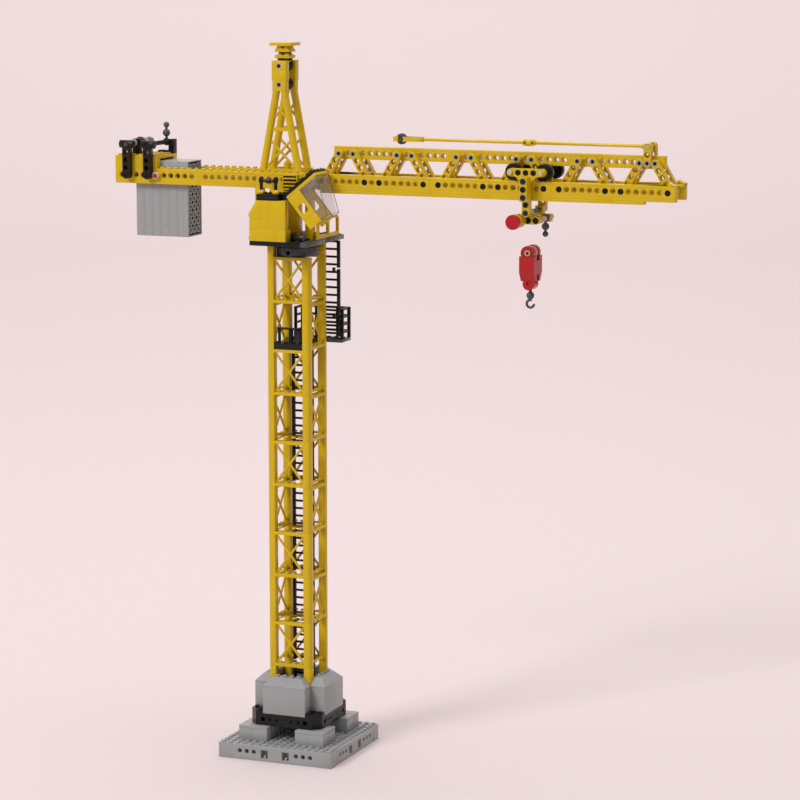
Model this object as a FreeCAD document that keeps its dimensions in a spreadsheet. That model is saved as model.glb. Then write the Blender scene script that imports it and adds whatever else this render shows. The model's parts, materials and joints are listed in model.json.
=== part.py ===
import FreeCAD, Part
import math
import os
import re

import Sketcher

# Toy tower crane built from studded bricks, plates, link arms and pins.
# Frame: +Z up, +X along the jib, origin at the centre of the base's underside, millimetres.

SIZES = {
    # building grid
    "pitch": 8.0,
    "plate_height": 3.2,
    "brick_height": 9.6,
    "hole_radius": 2.4,
    "pin_radius": 2.35,
    "hole_rise": 5.8,
    "running_gap": 0.3,
    "arm_thickness": 7.8,
    # base and pedestal
    "base_half": 64.0,
    "base_height": 16.0,
    "base_hole_level": 9.0,
    "block_height": 16.0,
    "frame_half": 40.0,
    "frame_height": 16.0,
    "frame_step": 3.2,
    "wall_height": 28.8,
    "slope_lip": 1.6,
    "slope_height": 8.0,
    # tower
    "tower_floor": 92.8,
    "section_height": 48.0,
    "section_count": 9.0,
    "bar_height": 3.3,
    "brace_radius": 1.25,
    "post_radius": 4.0,
    "landing_level": 428.8,
    "ladder_rail": 3.0,
    "rung_radius": 1.2,
    # slewing ring and deck
    "ring_radius": 22.4,
    "ring_height": 9.2,
    "spigot_radius": 7.95,
    "deck_floor": 539.2,
    "deck_top": 544.0,
    "house_front": -56.0,
    "house_top": 585.6,
    # cab
    "cab_hinge_x": 13.2,
    "cab_hinge_level": 590.1,
    "cab_depth": 40.0,
    "cab_height": 41.6,
    "cab_width": 31.6,
    "cab_wall": 3.2,
    "cab_tilt": 39.5,
    "hinge_bar": 1.6,
    "lever_x": 27.4,
    # jib and counter-jib
    "counter_end": -196.0,
    "jib_start": 28.0,
    "jib_end": 412.0,
    "beam_bottom": 598.4,
    "rail_top": 611.2,
    "chord_bottom": 626.1,
    "chord_start": 44.0,
    "chord_end": 396.0,
    "tie_level": 647.9,
    "winch_x": -180.0,
    # crane head
    "head_x": -12.0,
    "leg_radius": 3.8,
    "head_pin_low": 700.5,
    "head_pin_high": 719.5,
    "head_top": 723.8,
    "sheave_radius": 6.0,
    # trolley and hook
    "trolley_x": 260.0,
    "axle_level": 620.2,
    "wheel_radius": 8.7,
    "stem_foot": 580.2,
    "shaft_level": 572.2,
    "hook_x": 256.0,
    "block_top": 545.5,
    "block_bottom": 500.5,
    "block_pin_level": 538.2,
    "shank_radius": 1.6,
}
BEAM_LEVEL = SIZES["beam_bottom"] + SIZES["hole_rise"]
TRUSS_LEVEL = SIZES["chord_bottom"] + SIZES["hole_rise"]
PITCH = SIZES["pitch"]

FRONT_TO_BACK = FreeCAD.Vector(0, 1, 0)
UP = FreeCAD.Vector(0, 0, 1)
TURNS = {
    "x": FreeCAD.Rotation(FRONT_TO_BACK, 90),
    "y": FreeCAD.Rotation(FreeCAD.Vector(1, 0, 0), -90),
    "z": FreeCAD.Rotation(),
}
WORD = re.compile(r"[a-z]+(?:_[a-z]+)*")

doc = FreeCAD.newDocument("tower_crane")
sheet = doc.addObject("Spreadsheet::Sheet", "Dims")
for row, (alias, size) in enumerate(SIZES.items(), start=1):
    sheet.set(f"A{row}", alias)
    sheet.set(f"B{row}", str(size))
    sheet.setAlias(f"B{row}", alias)
doc.recompute()

nodes = []


# ---- helpers -------------------------------------------------------------------------------

def bind(item, prop, formula):
    """Bind a property to a formula written with the sheet's aliases."""
    def linked(word):
        return "Dims." + word.group() if word.group() in SIZES else word.group()
    item.setExpression(prop, WORD.sub(linked, str(formula)))


def place(item, x=0, y=0, z=0, turn=None):
    """Put an item at a formula-bound place, with a plain rotation."""
    if turn is not None:
        item.Placement = FreeCAD.Placement(FreeCAD.Vector(), turn)
    for axis, formula in zip("xyz", (x, y, z)):
        bind(item, "Placement.Base." + axis, formula)
    return item


def block(x, y, z, name="block"):
    """A box between the low and high formulas of each axis."""
    item = doc.addObject("Part::Box", name)
    for prop, (low, high) in zip(("Length", "Width", "Height"), (x, y, z)):
        bind(item, prop, f"({high}) - ({low})")
    return place(item, x[0], y[0], z[0])


def bar(axis, radius, span, at, name="bar"):
    """A round bar along an axis, from span[0] to span[1], at the two other coordinates."""
    item = doc.addObject("Part::Cylinder", name)
    bind(item, "Radius", radius)
    bind(item, "Height", f"({span[1]}) - ({span[0]})")
    spot = list(at)
    spot.insert("xyz".index(axis), span[0])
    return place(item, *spot, turn=TURNS[axis])


def ball(radius, x, y, z, name="ball"):
    item = doc.addObject("Part::Sphere", name)
    bind(item, "Radius", radius)
    return place(item, x, y, z)


def strut(start, end, radius, name="strut"):
    """A round bar between two points."""
    run = FreeCAD.Vector(*end) - FreeCAD.Vector(*start)
    item = doc.addObject("Part::Cylinder", name)
    bind(item, "Radius", radius)
    item.Height = run.Length
    item.Placement = FreeCAD.Placement(FreeCAD.Vector(*start), FreeCAD.Rotation(UP, run))
    return item


def group(items, name="group"):
    """Separate solids held together."""
    item = doc.addObject("Part::Compound", name)
    item.Links = items
    return item


def fuse(items, name="fused"):
    item = doc.addObject("Part::MultiFuse", name)
    item.Shapes = items
    item.Refine = True
    return item


def cut(base, tools, name="drilled"):
    item = doc.addObject("Part::Cut", name)
    item.Base = base
    item.Tool = tools[0] if len(tools) == 1 else group(tools, "tools")
    return item


def copy(master, x=0, y=0, z=0, turn=None):
    """Another piece from the same mould."""
    item = doc.addObject("App::Link", "copy")
    item.LinkedObject = master
    return place(item, x, y, z, turn)


def turned(angle, axis=UP):
    return FreeCAD.Rotation(axis, angle)


def node(label, item):
    """Name a finished sub-part."""
    item.Label = label
    nodes.append(item)
    return item


def plane(body, role):
    return next(feature for feature in body.Origin.OriginFeatures if feature.Role == role)


def sketch_on(body, role, name):
    sketch = body.newObject("Sketcher::SketchObject", name)
    sketch.AttachmentSupport = [(plane(body, role), "")]
    sketch.MapMode = "FlatFace"
    return sketch


def outline(sketch, points):
    """Closed polygon through the given corners."""
    corners = [FreeCAD.Vector(*point, 0) for point in points]
    for corner, following in zip(corners, corners[1:] + corners[:1]):
        sketch.addGeometry(Part.LineSegment(corner, following))
    count = len(corners)
    for side in range(count):
        sketch.addConstraint(Sketcher.Constraint("Coincident", side, 2, (side + 1) % count, 1))
    return sketch


def value(formula):
    """The number that a formula of aliases gives."""
    probe = doc.addObject("Part::Vertex", "probe")
    bind(probe, "X", formula)
    probe.recompute()
    number = probe.X.Value
    doc.removeObject(probe.Name)
    return number


def prism(name, role, points, depth, midplane=False):
    """A body padded from a polygon; points are pairs of formulas."""
    body = doc.addObject("PartDesign::Body", name)
    sketch = sketch_on(body, role, name + "_outline")
    numbers = [(value(x), value(y)) for x, y in points]
    outline(sketch, numbers)
    for side, (x, y) in enumerate(points):
        lock_bound(sketch, side, x, y, numbers[side])
    pad = body.newObject("PartDesign::Pad", name + "_pad")
    pad.Profile = sketch
    pad.Midplane = midplane
    bind(pad, "Length", depth)
    return body


def lock_bound(sketch, side, x, y, number):
    """Bind a polygon corner to its formulas, starting from its present place."""
    for kind, formula, size in (("DistanceX", x, number[0]), ("DistanceY", y, number[1])):
        index = sketch.addConstraint(Sketcher.Constraint(kind, -1, 1, side, 1, size))
        bind(sketch, f"Constraints[{index}]", formula)


def revolve(name, points):
    """A body turned about its own Z axis from a half outline of (radius, height) formulas."""
    body = doc.addObject("PartDesign::Body", name)
    sketch = sketch_on(body, "XZ_Plane", name + "_outline")
    numbers = [(value(x), value(y)) for x, y in points]
    outline(sketch, numbers)
    for side, (x, y) in enumerate(points):
        lock_bound(sketch, side, x, y, numbers[side])
    turn = body.newObject("PartDesign::Revolution", name + "_turn")
    turn.Profile = sketch
    turn.ReferenceAxis = (sketch, ["V_Axis"])
    turn.Angle = 360
    return body


# ---- moulds used many times ----------------------------------------------------------------

def beam(name, studs):
    """Brick with a row of round pin holes between its studs, along +X from its corner."""
    body = doc.addObject("PartDesign::Body", name)
    sketch = sketch_on(body, "XY_Plane", name + "_outline")
    corners = (("0", "0"), (f"{studs} * pitch", "0"), (f"{studs} * pitch", "pitch"), ("0", "pitch"))
    numbers = [(value(x), value(y)) for x, y in corners]
    outline(sketch, numbers)
    for side, (x, y) in enumerate(corners):
        lock_bound(sketch, side, x, y, numbers[side])
    pad = body.newObject("PartDesign::Pad", name + "_pad")
    pad.Profile = sketch
    bind(pad, "Length", "brick_height")
    hole = sketch_on(body, "XZ_Plane", name + "_hole")
    centre = FreeCAD.Vector(PITCH, SIZES["hole_rise"], 0)
    hole.addGeometry(Part.Circle(centre, UP, SIZES["hole_radius"]))
    for kind, formula in (("DistanceX", "pitch"), ("DistanceY", "hole_rise")):
        size = PITCH if kind == "DistanceX" else SIZES["hole_rise"]
        index = hole.addConstraint(Sketcher.Constraint(kind, -1, 1, 0, 3, size))
        bind(hole, f"Constraints[{index}]", formula)
    index = hole.addConstraint(Sketcher.Constraint("Radius", 0, SIZES["hole_radius"]))
    bind(hole, f"Constraints[{index}]", "hole_radius")
    pocket = body.newObject("PartDesign::Pocket", name + "_pocket")
    pocket.Profile = hole
    pocket.Type = "ThroughAll"
    pocket.Midplane = True
    row = body.newObject("PartDesign::LinearPattern", name + "_holes")
    row.Originals = [pocket]
    row.Direction = (plane(body, "X_Axis"), [""])
    row.Occurrences = studs - 1
    bind(row, "Length", f"{studs - 2} * pitch")
    body.Tip = row
    return body


def link_arm(name, holes):
    """Flat arm with round ends and a row of holes; the first hole is at the origin, +Y thick."""
    last = f"{holes - 1} * pitch"
    bodywork = fuse([
        block(("0", last), ("0", "arm_thickness"), ("-arm_thickness / 2", "arm_thickness / 2")),
        bar("y", "arm_thickness / 2", ("0", "arm_thickness"), ("0", "0")),
        bar("y", "arm_thickness / 2", ("0", "arm_thickness"), (last, "0")),
    ], name + "_blank")
    drills = [bar("y", "hole_radius", ("-1", "arm_thickness + 1"), (f"{hole} * pitch", "0"))
              for hole in range(holes)]
    return cut(bodywork, drills, name)


def sheave(name, rim, half_width, axle_half):
    """Grooved wheel on its own axle, turned about Z and centred on the origin."""
    return revolve(name, [
        ("0", f"-({axle_half})"), ("pin_radius", f"-({axle_half})"),
        ("pin_radius", f"-({half_width})"), (rim, f"-({half_width})"),
        (rim, f"-({half_width}) * 0.45"), (f"({rim}) * 0.72", "0"),
        (rim, f"({half_width}) * 0.45"), (rim, half_width),
        ("pin_radius", half_width), ("pin_radius", axle_half), ("0", axle_half),
    ])


def rounded_post(x, y, z, outer, name="post"):
    """One-stud post whose outer upright edge is rounded; outer is the sign of x and y there."""
    shaft = block(x, y, z, name + "_blank")
    shaft.recompute()
    corner_x = value(x[1] if outer[0] > 0 else x[0])
    corner_y = value(y[1] if outer[1] > 0 else y[0])
    for number, edge in enumerate(shaft.Shape.Edges, start=1):
        ends = [vertex.Point for vertex in edge.Vertexes]
        if all(abs(end.x - corner_x) < 0.01 and abs(end.y - corner_y) < 0.01 for end in ends):
            chosen = number
    item = doc.addObject("Part::Fillet", name)
    item.Base = shaft
    item.Edges = [(chosen, SIZES["post_radius"] - 0.05, SIZES["post_radius"] - 0.05)]
    return item


def tower_panel():
    """Braced panel: two posts, two bars and crossed rods; its outer face looks along -Y."""
    posts = [
        rounded_post(("-3 * pitch", "-2 * pitch"), ("-pitch / 2", "pitch / 2"), ("0", "section_height"), (-1, -1)),
        rounded_post(("2 * pitch", "3 * pitch"), ("-pitch / 2", "pitch / 2"), ("0", "section_height"), (1, -1)),
    ]
    across = ("-2 * pitch", "2 * pitch")
    bars = [
        block(across, ("-pitch / 2", "pitch / 2"), ("0", "bar_height")),
        block(across, ("-pitch / 2", "pitch / 2"), ("section_height - bar_height", "section_height")),
    ]
    reach = 2 * PITCH + 0.5
    low = SIZES["bar_height"] - 0.6
    high = SIZES["section_height"] - low
    rods = [
        strut((-reach, -0.6, low), (reach, -0.6, high), "brace_radius"),
        strut((-reach, -0.6, high), (reach, -0.6, low), "brace_radius"),
    ]
    return fuse(posts + bars + rods, "tower_panel")


# ---- base and pedestal ---------------------------------------------------------------------

def make_base():
    slab = block(("-base_half", "base_half"), ("-base_half", "base_half"), ("0", "base_height"))
    drills = []
    for offset in (-5, -4, -3, 3, 4, 5):
        for side in (("-base_half - 1", "-base_half + pitch"), ("base_half - pitch", "base_half + 1")):
            drills.append(bar("y", "hole_radius", side, (f"{offset} * pitch", "base_hole_level")))
            drills.append(bar("x", "hole_radius", side, (f"{offset} * pitch", "base_hole_level")))
    for start in ("pitch", "-2 * pitch"):
        span = (start, f"{start} + pitch")
        for side in (("-base_half - 1", "-base_half + pitch"), ("base_half - pitch", "base_half + 1")):
            drills.append(block(span, side, ("plate_height", "plate_height + 8.8")))
            drills.append(block(side, span, ("plate_height", "plate_height + 8.8")))
    node("base_plate", cut(slab, drills))
    blocks = []
    for x in ("-6 * pitch", "2 * pitch"):
        for y in ("-6 * pitch", "2 * pitch"):
            top = "base_height + block_height"
            blocks.append(block((x, f"{x} + 4 * pitch"), (y, f"{y} + 4 * pitch"), ("base_height", top)))
    node("corner_blocks", group(blocks))


def make_chassis():
    long_side = "frame_half"
    short_side = "frame_half - pitch"
    corners = [(short_side, f"-({long_side})"), (long_side, f"-({short_side})"),
               (long_side, short_side), (short_side, long_side),
               (f"-({short_side})", long_side), (f"-({long_side})", short_side),
               (f"-({long_side})", f"-({short_side})"), (f"-({short_side})", f"-({long_side})")]
    frame = place(prism("chassis_blank", "XY_Plane", corners, "frame_height"), z="base_height + block_height")
    top = "base_height + block_height + frame_height"
    middle = "base_height + block_height + 6.4"
    tools = [block(("-frame_half - 1", "frame_half + 1"), ("-3 * pitch", "3 * pitch"), (f"{top} - frame_step", top)),
             block(("-3 * pitch", "3 * pitch"), ("-frame_half - 1", "frame_half + 1"), (f"{top} - frame_step", top))]
    for offset in (-3, -2, -1, 1, 2, 3):
        radius = "hole_radius" if abs(offset) == 3 else "brace_radius"
        for side in (("-frame_half - 1", "-frame_half + pitch"), ("frame_half - pitch", "frame_half + 1")):
            tools.append(bar("y", radius, side, (f"{offset} * pitch", middle)))
            tools.append(bar("x", radius, side, (f"{offset} * pitch", middle)))
    node("chassis_frame", cut(frame, tools))


def make_pedestal():
    floor = "base_height + block_height + frame_height - frame_step"
    top = f"{floor} + wall_height"
    walls = fuse([
        block(("-3 * pitch", "3 * pitch"), ("-frame_half", "frame_half"), (floor, top)),
        block(("-frame_half", "frame_half"), ("-3 * pitch", "3 * pitch"), (floor, top)),
    ])
    well = block(("-2 * pitch", "2 * pitch"), ("-2 * pitch", "2 * pitch"), (f"{floor} - 1", f"{top} + 1"))
    node("pedestal_walls", cut(walls, [well]))
    lip = block(("-3 * pitch", "3 * pitch"), ("-frame_half", "-3 * pitch"), ("0", "slope_lip"))
    hip = doc.addObject("Part::Wedge", "hip")
    low_and_high = {
        "Xmin": "-3 * pitch", "Xmax": "3 * pitch", "X2min": "-2 * pitch", "X2max": "2 * pitch",
        "Ymin": "0", "Ymax": "slope_height",
        "Zmin": "3 * pitch", "Zmax": "frame_half", "Z2min": "3 * pitch", "Z2max": "4 * pitch",
    }
    for prop, formula in low_and_high.items():
        bind(hip, prop, formula)
    place(hip, z="slope_lip", turn=FreeCAD.Rotation(FreeCAD.Vector(1, 0, 0), 90))
    slope = fuse([lip, hip], "slope_brick")
    node("pedestal_slopes", group([copy(slope, z=top, turn=turned(angle)) for angle in (0, 90, 180, 270)]))


# ---- tower ---------------------------------------------------------------------------------

def make_tower():
    feet = []
    near, far = ("-3 * pitch", "-2 * pitch"), ("2 * pitch", "3 * pitch")
    foot = "base_height + block_height + frame_height - frame_step + wall_height"
    tower_top = "tower_floor + section_count * section_height"
    for x, sign_x in ((near, -1), (far, 1)):
        for y, sign_y in ((near, -1), (far, 1)):
            feet.append(rounded_post(x, y, (foot, "tower_floor"), (sign_x, sign_y)))
            if (sign_x, sign_y) != (1, -1):
                head = (tower_top, f"{tower_top} + brick_height + plate_height")
                feet.append(rounded_post(x, y, head, (sign_x, sign_y)))
    node("tower_posts", group(feet))
    panel = tower_panel()
    for level in range(int(SIZES["section_count"])):
        floor = f"tower_floor + {level} * section_height"
        first = 0 if level % 2 == 0 else 90
        pair = []
        for angle in (first, first + 180):
            outward = FreeCAD.Rotation(UP, angle).multVec(FreeCAD.Vector(0, -1, 0))
            reach_x = f"{round(outward.x)} * 2.5 * pitch"
            reach_y = f"{round(outward.y)} * 2.5 * pitch"
            pair.append(copy(panel, reach_x, reach_y, floor, turned(angle)))
        node(f"tower_section_{level + 1}", group(pair))


def ladder(x, y, z, rungs, height=None):
    """Ladder section three studs wide, from its lower left front corner."""
    height = height or f"{rungs} * pitch - 1.6"
    rails = [block((left, f"{left} + ladder_rail"), ("0", "ladder_rail"), ("0", height))
             for left in ("0", "3 * pitch - ladder_rail")]
    steps = [bar("x", "rung_radius", ("1", "3 * pitch - 1"), ("ladder_rail / 2", f"({step} + 0.4) * pitch"))
             for step in range(rungs)]
    clip = block(("2 * pitch", "2 * pitch + 2.4"), ("0", "ladder_rail"), (f"({rungs} - 0.6) * pitch", f"{rungs} * pitch"))
    piece = fuse(rails + steps + ([] if height != f"{rungs} * pitch - 1.6" else [clip]), "ladder_section")
    return place(piece, x, y, z)


def make_landings():
    thick = "2 * plate_height"
    floor = block(("-2 * pitch", "2 * pitch"), ("-3 * pitch", "3 * pitch"),
                  ("landing_level", f"landing_level + {thick}"))
    stock = [
        bar("z", "1.6", (f"landing_level + {thick}", "landing_level + 22"), ("-13", "-16")),
        bar("z", "2.4", (f"landing_level + {thick}", "landing_level + 20"), ("0", "-16")),
        block(("5", "12"), ("-20", "-12"), (f"landing_level + {thick}", "landing_level + 20")),
        bar("x", "1.2", ("-15", "12"), ("-16", "landing_level + 21")),
    ]
    node("inner_platform", fuse([floor] + stock))
    low = "landing_level + plate_height"
    high = "landing_level + 2 * plate_height"
    node("outer_platform", block(("-2 * pitch", "5 * pitch"), ("3 * pitch", "6 * pitch"), (low, high)))
    top = f"{high} + 4 * pitch"
    bars = []
    for x in ("-2 * pitch", "5 * pitch - 3"):
        bars.append(block((x, f"{x} + 3"), ("6 * pitch - 3", "6 * pitch"), (high, top)))
        bars.append(block((x, f"{x} + 3"), ("3 * pitch + 4", "3 * pitch + 6"), (high, top)))
        for step in range(4):
            rise = f"{high} + {step + 1} * pitch - 2.4"
            bars.append(block((x, f"{x} + 2"), ("3 * pitch + 4", "6 * pitch"), (rise, f"{rise} + 2.4")))
    for x in ("0", "3 * pitch"):
        bars.append(block((x, f"{x} + 2.4"), ("6 * pitch - 2.4", "6 * pitch"), (high, top)))
    for step in range(4):
        rise = f"{high} + {step + 1} * pitch - 2.4"
        bars.append(block(("-2 * pitch", "5 * pitch"), ("6 * pitch - 2", "6 * pitch"), (rise, f"{rise} + 2.4")))
    node("outer_railing", fuse(bars))
    sections = [ladder("-1.5 * pitch + 1", "10", f"frame_half + 4.8 + {step} * section_height", 6)
                for step in range(8)]
    for rise, rungs in ((0.4, 3), (3.4, 6)):
        sections.append(ladder("13.4", "3 * pitch + 0.2", f"{high} + {rise} * pitch", rungs))
    sections.append(ladder("13.4", "3 * pitch + 0.2", f"{high} + 9.4 * pitch", 4, "28"))
    node("ladders", group(sections))


# ---- slewing ring, deck and house ----------------------------------------------------------

def make_turntable():
    floor = "tower_floor + section_count * section_height"
    top = f"{floor} + ring_height"
    ring = bar("z", "ring_radius", (floor, top), ("0", "0"))
    drills = [
        bar("z", "pitch", (f"{floor} - 1", f"{top} + 1"), ("0", "0")),
        bar("y", "hole_radius", ("-ring_radius - 1", "-1.5 * pitch"), ("0", f"{floor} + 4.4")),
    ]
    node("turntable_base", cut(ring, drills))
    upper = [
        bar("z", "ring_radius - 0.8", (f"{top} + running_gap", "deck_floor"), ("0", "0")),
        bar("z", "spigot_radius", (f"{floor} + running_gap", "deck_floor"), ("0", "0")),
    ]
    node("turntable_top", fuse(upper))


def make_deck():
    plates = [
        block(("-3.5 * pitch", "3.5 * pitch"), ("house_front", "5 * pitch"), ("deck_floor", "deck_top")),
        block(("-4.5 * pitch", "-3.5 * pitch"), ("-4.5 * pitch", "5 * pitch"), ("deck_floor", "deck_top")),
    ]
    edge = block(("3.5 * pitch", "4.5 * pitch"), ("house_front", "5 * pitch"), ("deck_floor", "deck_top"))
    node("deck_plate", group([fuse(plates), edge]))
    frames = []
    for start in ("-3 * pitch", "0.5 * pitch"):
        end = f"{start} + 3.25 * pitch"
        frames.append(fuse([
            block(("32", "35"), (start, f"{start} + 3"), ("deck_top", "566")),
            block(("32", "35"), (f"{end} - 3", end), ("deck_top", "566")),
            block(("32", "35"), (start, end), ("563", "566")),
            block(("32", "35"), (start, end), ("deck_top", "deck_top + 2")),
        ]))
    node("deck_railing", group(frames))
    seat = fuse([
        block(("13", "24"), ("-44", "-33"), ("deck_top", "deck_top + 4")),
        block(("13", "16"), ("-44", "-33"), ("deck_top", "deck_top + 8")),
    ])
    lugs = []
    for near, far in (("-48.2", "-47"), ("-44.2", "-43")):
        lug = block(("lever_x - 1.5", "lever_x + 1.5"), (near, far), ("deck_top", "deck_top + 3.4"))
        lugs.append(cut(lug, [bar("y", "1.25", ("-50", "-42"), ("lever_x", "deck_top + 2"))]))
    node("operator_station", group([seat] + [place(lug, y="2") for lug in lugs]))
    lever = fuse([
        bar("y", "1.2", ("-46.2", "-41"), ("lever_x", "deck_top + 2")),
        bar("z", "0.8", ("deck_top + 2", "deck_top + 7"), ("lever_x", "-43.6")),
        bar("z", "1.6", ("deck_top + 7", "deck_top + 9"), ("lever_x", "-43.6")),
    ])
    node("control_lever", lever)


def make_house():
    wall = prism("house_wall_blank", "XZ_Plane", [
        ("-3.5 * pitch", "deck_top"), ("1.5 * pitch", "deck_top"), ("1.5 * pitch", "house_top"),
        ("-2.5 * pitch", "house_top"), ("-3.5 * pitch", "house_top - 12.8"),
    ], "pitch")
    node("house_wall", place(wall, y="house_front + pitch"))
    roof_top = "house_top + 2 * plate_height"
    node("house_roof", block(("-2.5 * pitch", "0.5 * pitch"), ("house_front", "house_front + 2 * pitch"),
                             ("house_top", roof_top)))
    vents = []
    for x in ("-2 * pitch", "0"):
        spot = (x, "house_front + pitch / 2")
        vents.append(bar("z", "3", (roof_top, f"{roof_top} + 4.4"), spot))
        vents.append(bar("z", "1.6", (f"{roof_top} + 4.4", "609.6"), spot))
    vents.append(block(("-2 * pitch", "0"), ("house_front + 2.6", "house_front + 5.4"), ("604", "607.2")))
    node("roof_vents", fuse(vents))
    columns = []
    for x, y in (("-4.5 * pitch", "-3 * pitch"), ("2.5 * pitch", "-3 * pitch"), ("-4.5 * pitch", "2 * pitch"),
                 ("-1.5 * pitch", "2 * pitch")):
        columns.append(block((x, f"{x} + pitch"), (y, f"{y} + pitch"), ("deck_top", "beam_bottom - plate_height")))
    rear_wall = block(("-2.5 * pitch", "1.5 * pitch"), ("-3 * pitch", "-2 * pitch"), ("deck_top", "beam_bottom - plate_height"))
    low_wall = block(("-2 * pitch", "1.5 * pitch"), ("house_front + pitch", "house_front + 1.6 * pitch"),
                     ("deck_top", "deck_top + 12"))
    node("house_columns", group(columns + [rear_wall, low_wall]))


# ---- cab -----------------------------------------------------------------------------------

def make_cab():
    tilt = FreeCAD.Rotation(FRONT_TO_BACK, -SIZES["cab_tilt"])
    slots = (("10.2", "15"), ("16.6", "21.4"))
    walls = [block(("0", "2 * pitch"), side, ("-cab_height", "0"))
             for side in (("0", "cab_wall"), ("cab_width - cab_wall", "cab_width"))]
    frame = block(("0", "cab_depth"), ("0", "cab_width"), ("-plate_height", "0"))
    window = [block(("3.3", "11.7"), ("-1", "cab_width + 1"), ("-cab_height + 16.2", "-cab_height + 26.4"))]
    notches = [block(("-1", "3.6"), slot, ("-plate_height - 1", "plate_height + 1")) for slot in slots]
    shell = cut(fuse(walls + [frame]), window + notches)
    pivot = bar("y", "hinge_bar", ("4", "cab_width - 4"), ("0", "-1"))
    cab_home = {"x": "cab_hinge_x", "y": "house_front", "z": "cab_hinge_level", "turn": tilt}
    node("cab_shell", place(fuse([shell, pivot]), **cab_home))
    roof = cut(block(("0", "cab_depth"), ("0", "cab_width"), ("0", "plate_height")), notches)
    trim = bar("y", "hinge_bar + 0.1", ("3", "cab_width - 3"), ("0", "-1"))
    node("cab_roof", place(cut(roof, [trim]), **cab_home))
    glass = prism("windscreen_blank", "XZ_Plane", [
        ("2 * pitch", "-cab_height"), ("3 * pitch", "-cab_height"),
        ("cab_depth", "-plate_height"), ("2 * pitch", "-plate_height"),
    ], "cab_width")
    inside = prism("windscreen_void", "XZ_Plane", [
        ("2 * pitch - 1", "-cab_height + 1.6"), ("3 * pitch - 1.2", "-cab_height + 1.6"),
        ("cab_depth - 1.1", "-plate_height + 1"), ("2 * pitch - 1", "-plate_height + 1"),
    ], "cab_width - 3.2")
    place(glass, y="cab_width")
    place(inside, y="cab_width - 1.6")
    node("cab_windscreen", place(cut(glass, [inside]), **cab_home))
    # clips round the hinge bar, on a block beside the house roof
    centre = tilt.multVec(FreeCAD.Vector(0, 0, -1))
    at = (f"cab_hinge_x + {centre.x:.4f}", f"cab_hinge_level + {centre.z:.4f}")
    clips = [block(("0.5 * pitch", "pitch"), ("house_front + pitch", "house_front + 3 * pitch"),
                   ("house_top", "house_top + 2 * plate_height"))]
    for low, high in slots:
        span = (f"house_front + {low} + 0.4", f"house_front + {high} - 0.4")
        clips.append(bar("y", "hinge_bar + 1.4", span, at))
        clips.append(block(("pitch - 1", at[0]), span, ("house_top + 1.6", "house_top + 4.6")))
    bore = bar("y", "hinge_bar + 0.05", ("house_front", "house_front + cab_width"), at)
    node("cab_hinge", cut(fuse(clips), [bore]))


# ---- jib and counter-jib -------------------------------------------------------------------

BOTTOM_PINS = [36 + 64 * bay + side for bay in range(6) for side in (0, 48)]
TOP_PINS = [52 + 64 * bay + side for bay in range(6) for side in (0, 16)]


def make_beams():
    short, long = beam("beam_twelve", 12), beam("beam_sixteen", 16)
    counter = []
    for y in ("-3 * pitch", "2 * pitch"):
        counter.append(copy(short, "counter_end", y, "beam_bottom"))
        counter.append(copy(long, "counter_end + 12 * pitch", y, "beam_bottom"))
    node("counter_jib_beams", group(counter))
    jib = [copy(long, f"jib_start + {step} * 16 * pitch", y, "beam_bottom")
           for y in ("-2.5 * pitch", "1.5 * pitch") for step in range(3)]
    node("jib_beams", group(jib))
    chord = []
    for start, studs in ((0, 16), (16, 16), (32, 12)):
        mould = long if studs == 16 else short
        chord.append(copy(mould, f"chord_start + {start} * pitch", "-pitch / 2", "chord_bottom"))
    chord.append(block(("chord_start", "chord_end"), ("-pitch / 2", "pitch / 2"),
                       ("chord_bottom + brick_height", "chord_bottom + brick_height + plate_height")))
    node("upper_chord", group(chord))
    above = ("beam_bottom + brick_height", "rail_top")
    below = ("beam_bottom - plate_height", "beam_bottom")
    plates = []
    for z in (above, below):
        for y in ("-3 * pitch", "2 * pitch"):
            plates.append(block(("counter_end", "jib_start"), (y, f"{y} + pitch"), z))
        for y in ("-2.5 * pitch", "1.5 * pitch"):
            plates.append(block(("jib_start", "jib_end"), (y, f"{y} + pitch"), z))
    lowest = ("beam_bottom - 2 * plate_height", "beam_bottom - plate_height")
    for y in ("-2.5 * pitch", "1.5 * pitch"):
        plates.append(block(("jib_start + pitch", "jib_end - 4 * pitch"), (y, f"{y} + pitch"), lowest))
    # cross pieces that tie the two sides together
    plates.append(block(("-4.5 * pitch", "1.5 * pitch"), ("-2 * pitch", "2 * pitch"), ("rail_top - 6.4", "rail_top")))
    plates.append(block(("jib_end - 0.45 * pitch", "jib_end"), ("-1.5 * pitch", "1.5 * pitch"), above))
    plates.append(block(("jib_start", "jib_start + 0.5 * pitch"), ("-1.5 * pitch", "1.5 * pitch"), above))
    stop = prism("end_slope", "XZ_Plane", [
        ("0", "0"), ("pitch", "0"), ("pitch", "0.4"), ("0.8", "plate_height"), ("0", "plate_height"),
    ], "pitch")
    stops = [copy(stop, "jib_end - pitch", y, "rail_top") for y in ("-1.5 * pitch", "2.5 * pitch")]
    node("beam_plates", group(plates + stops))


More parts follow.
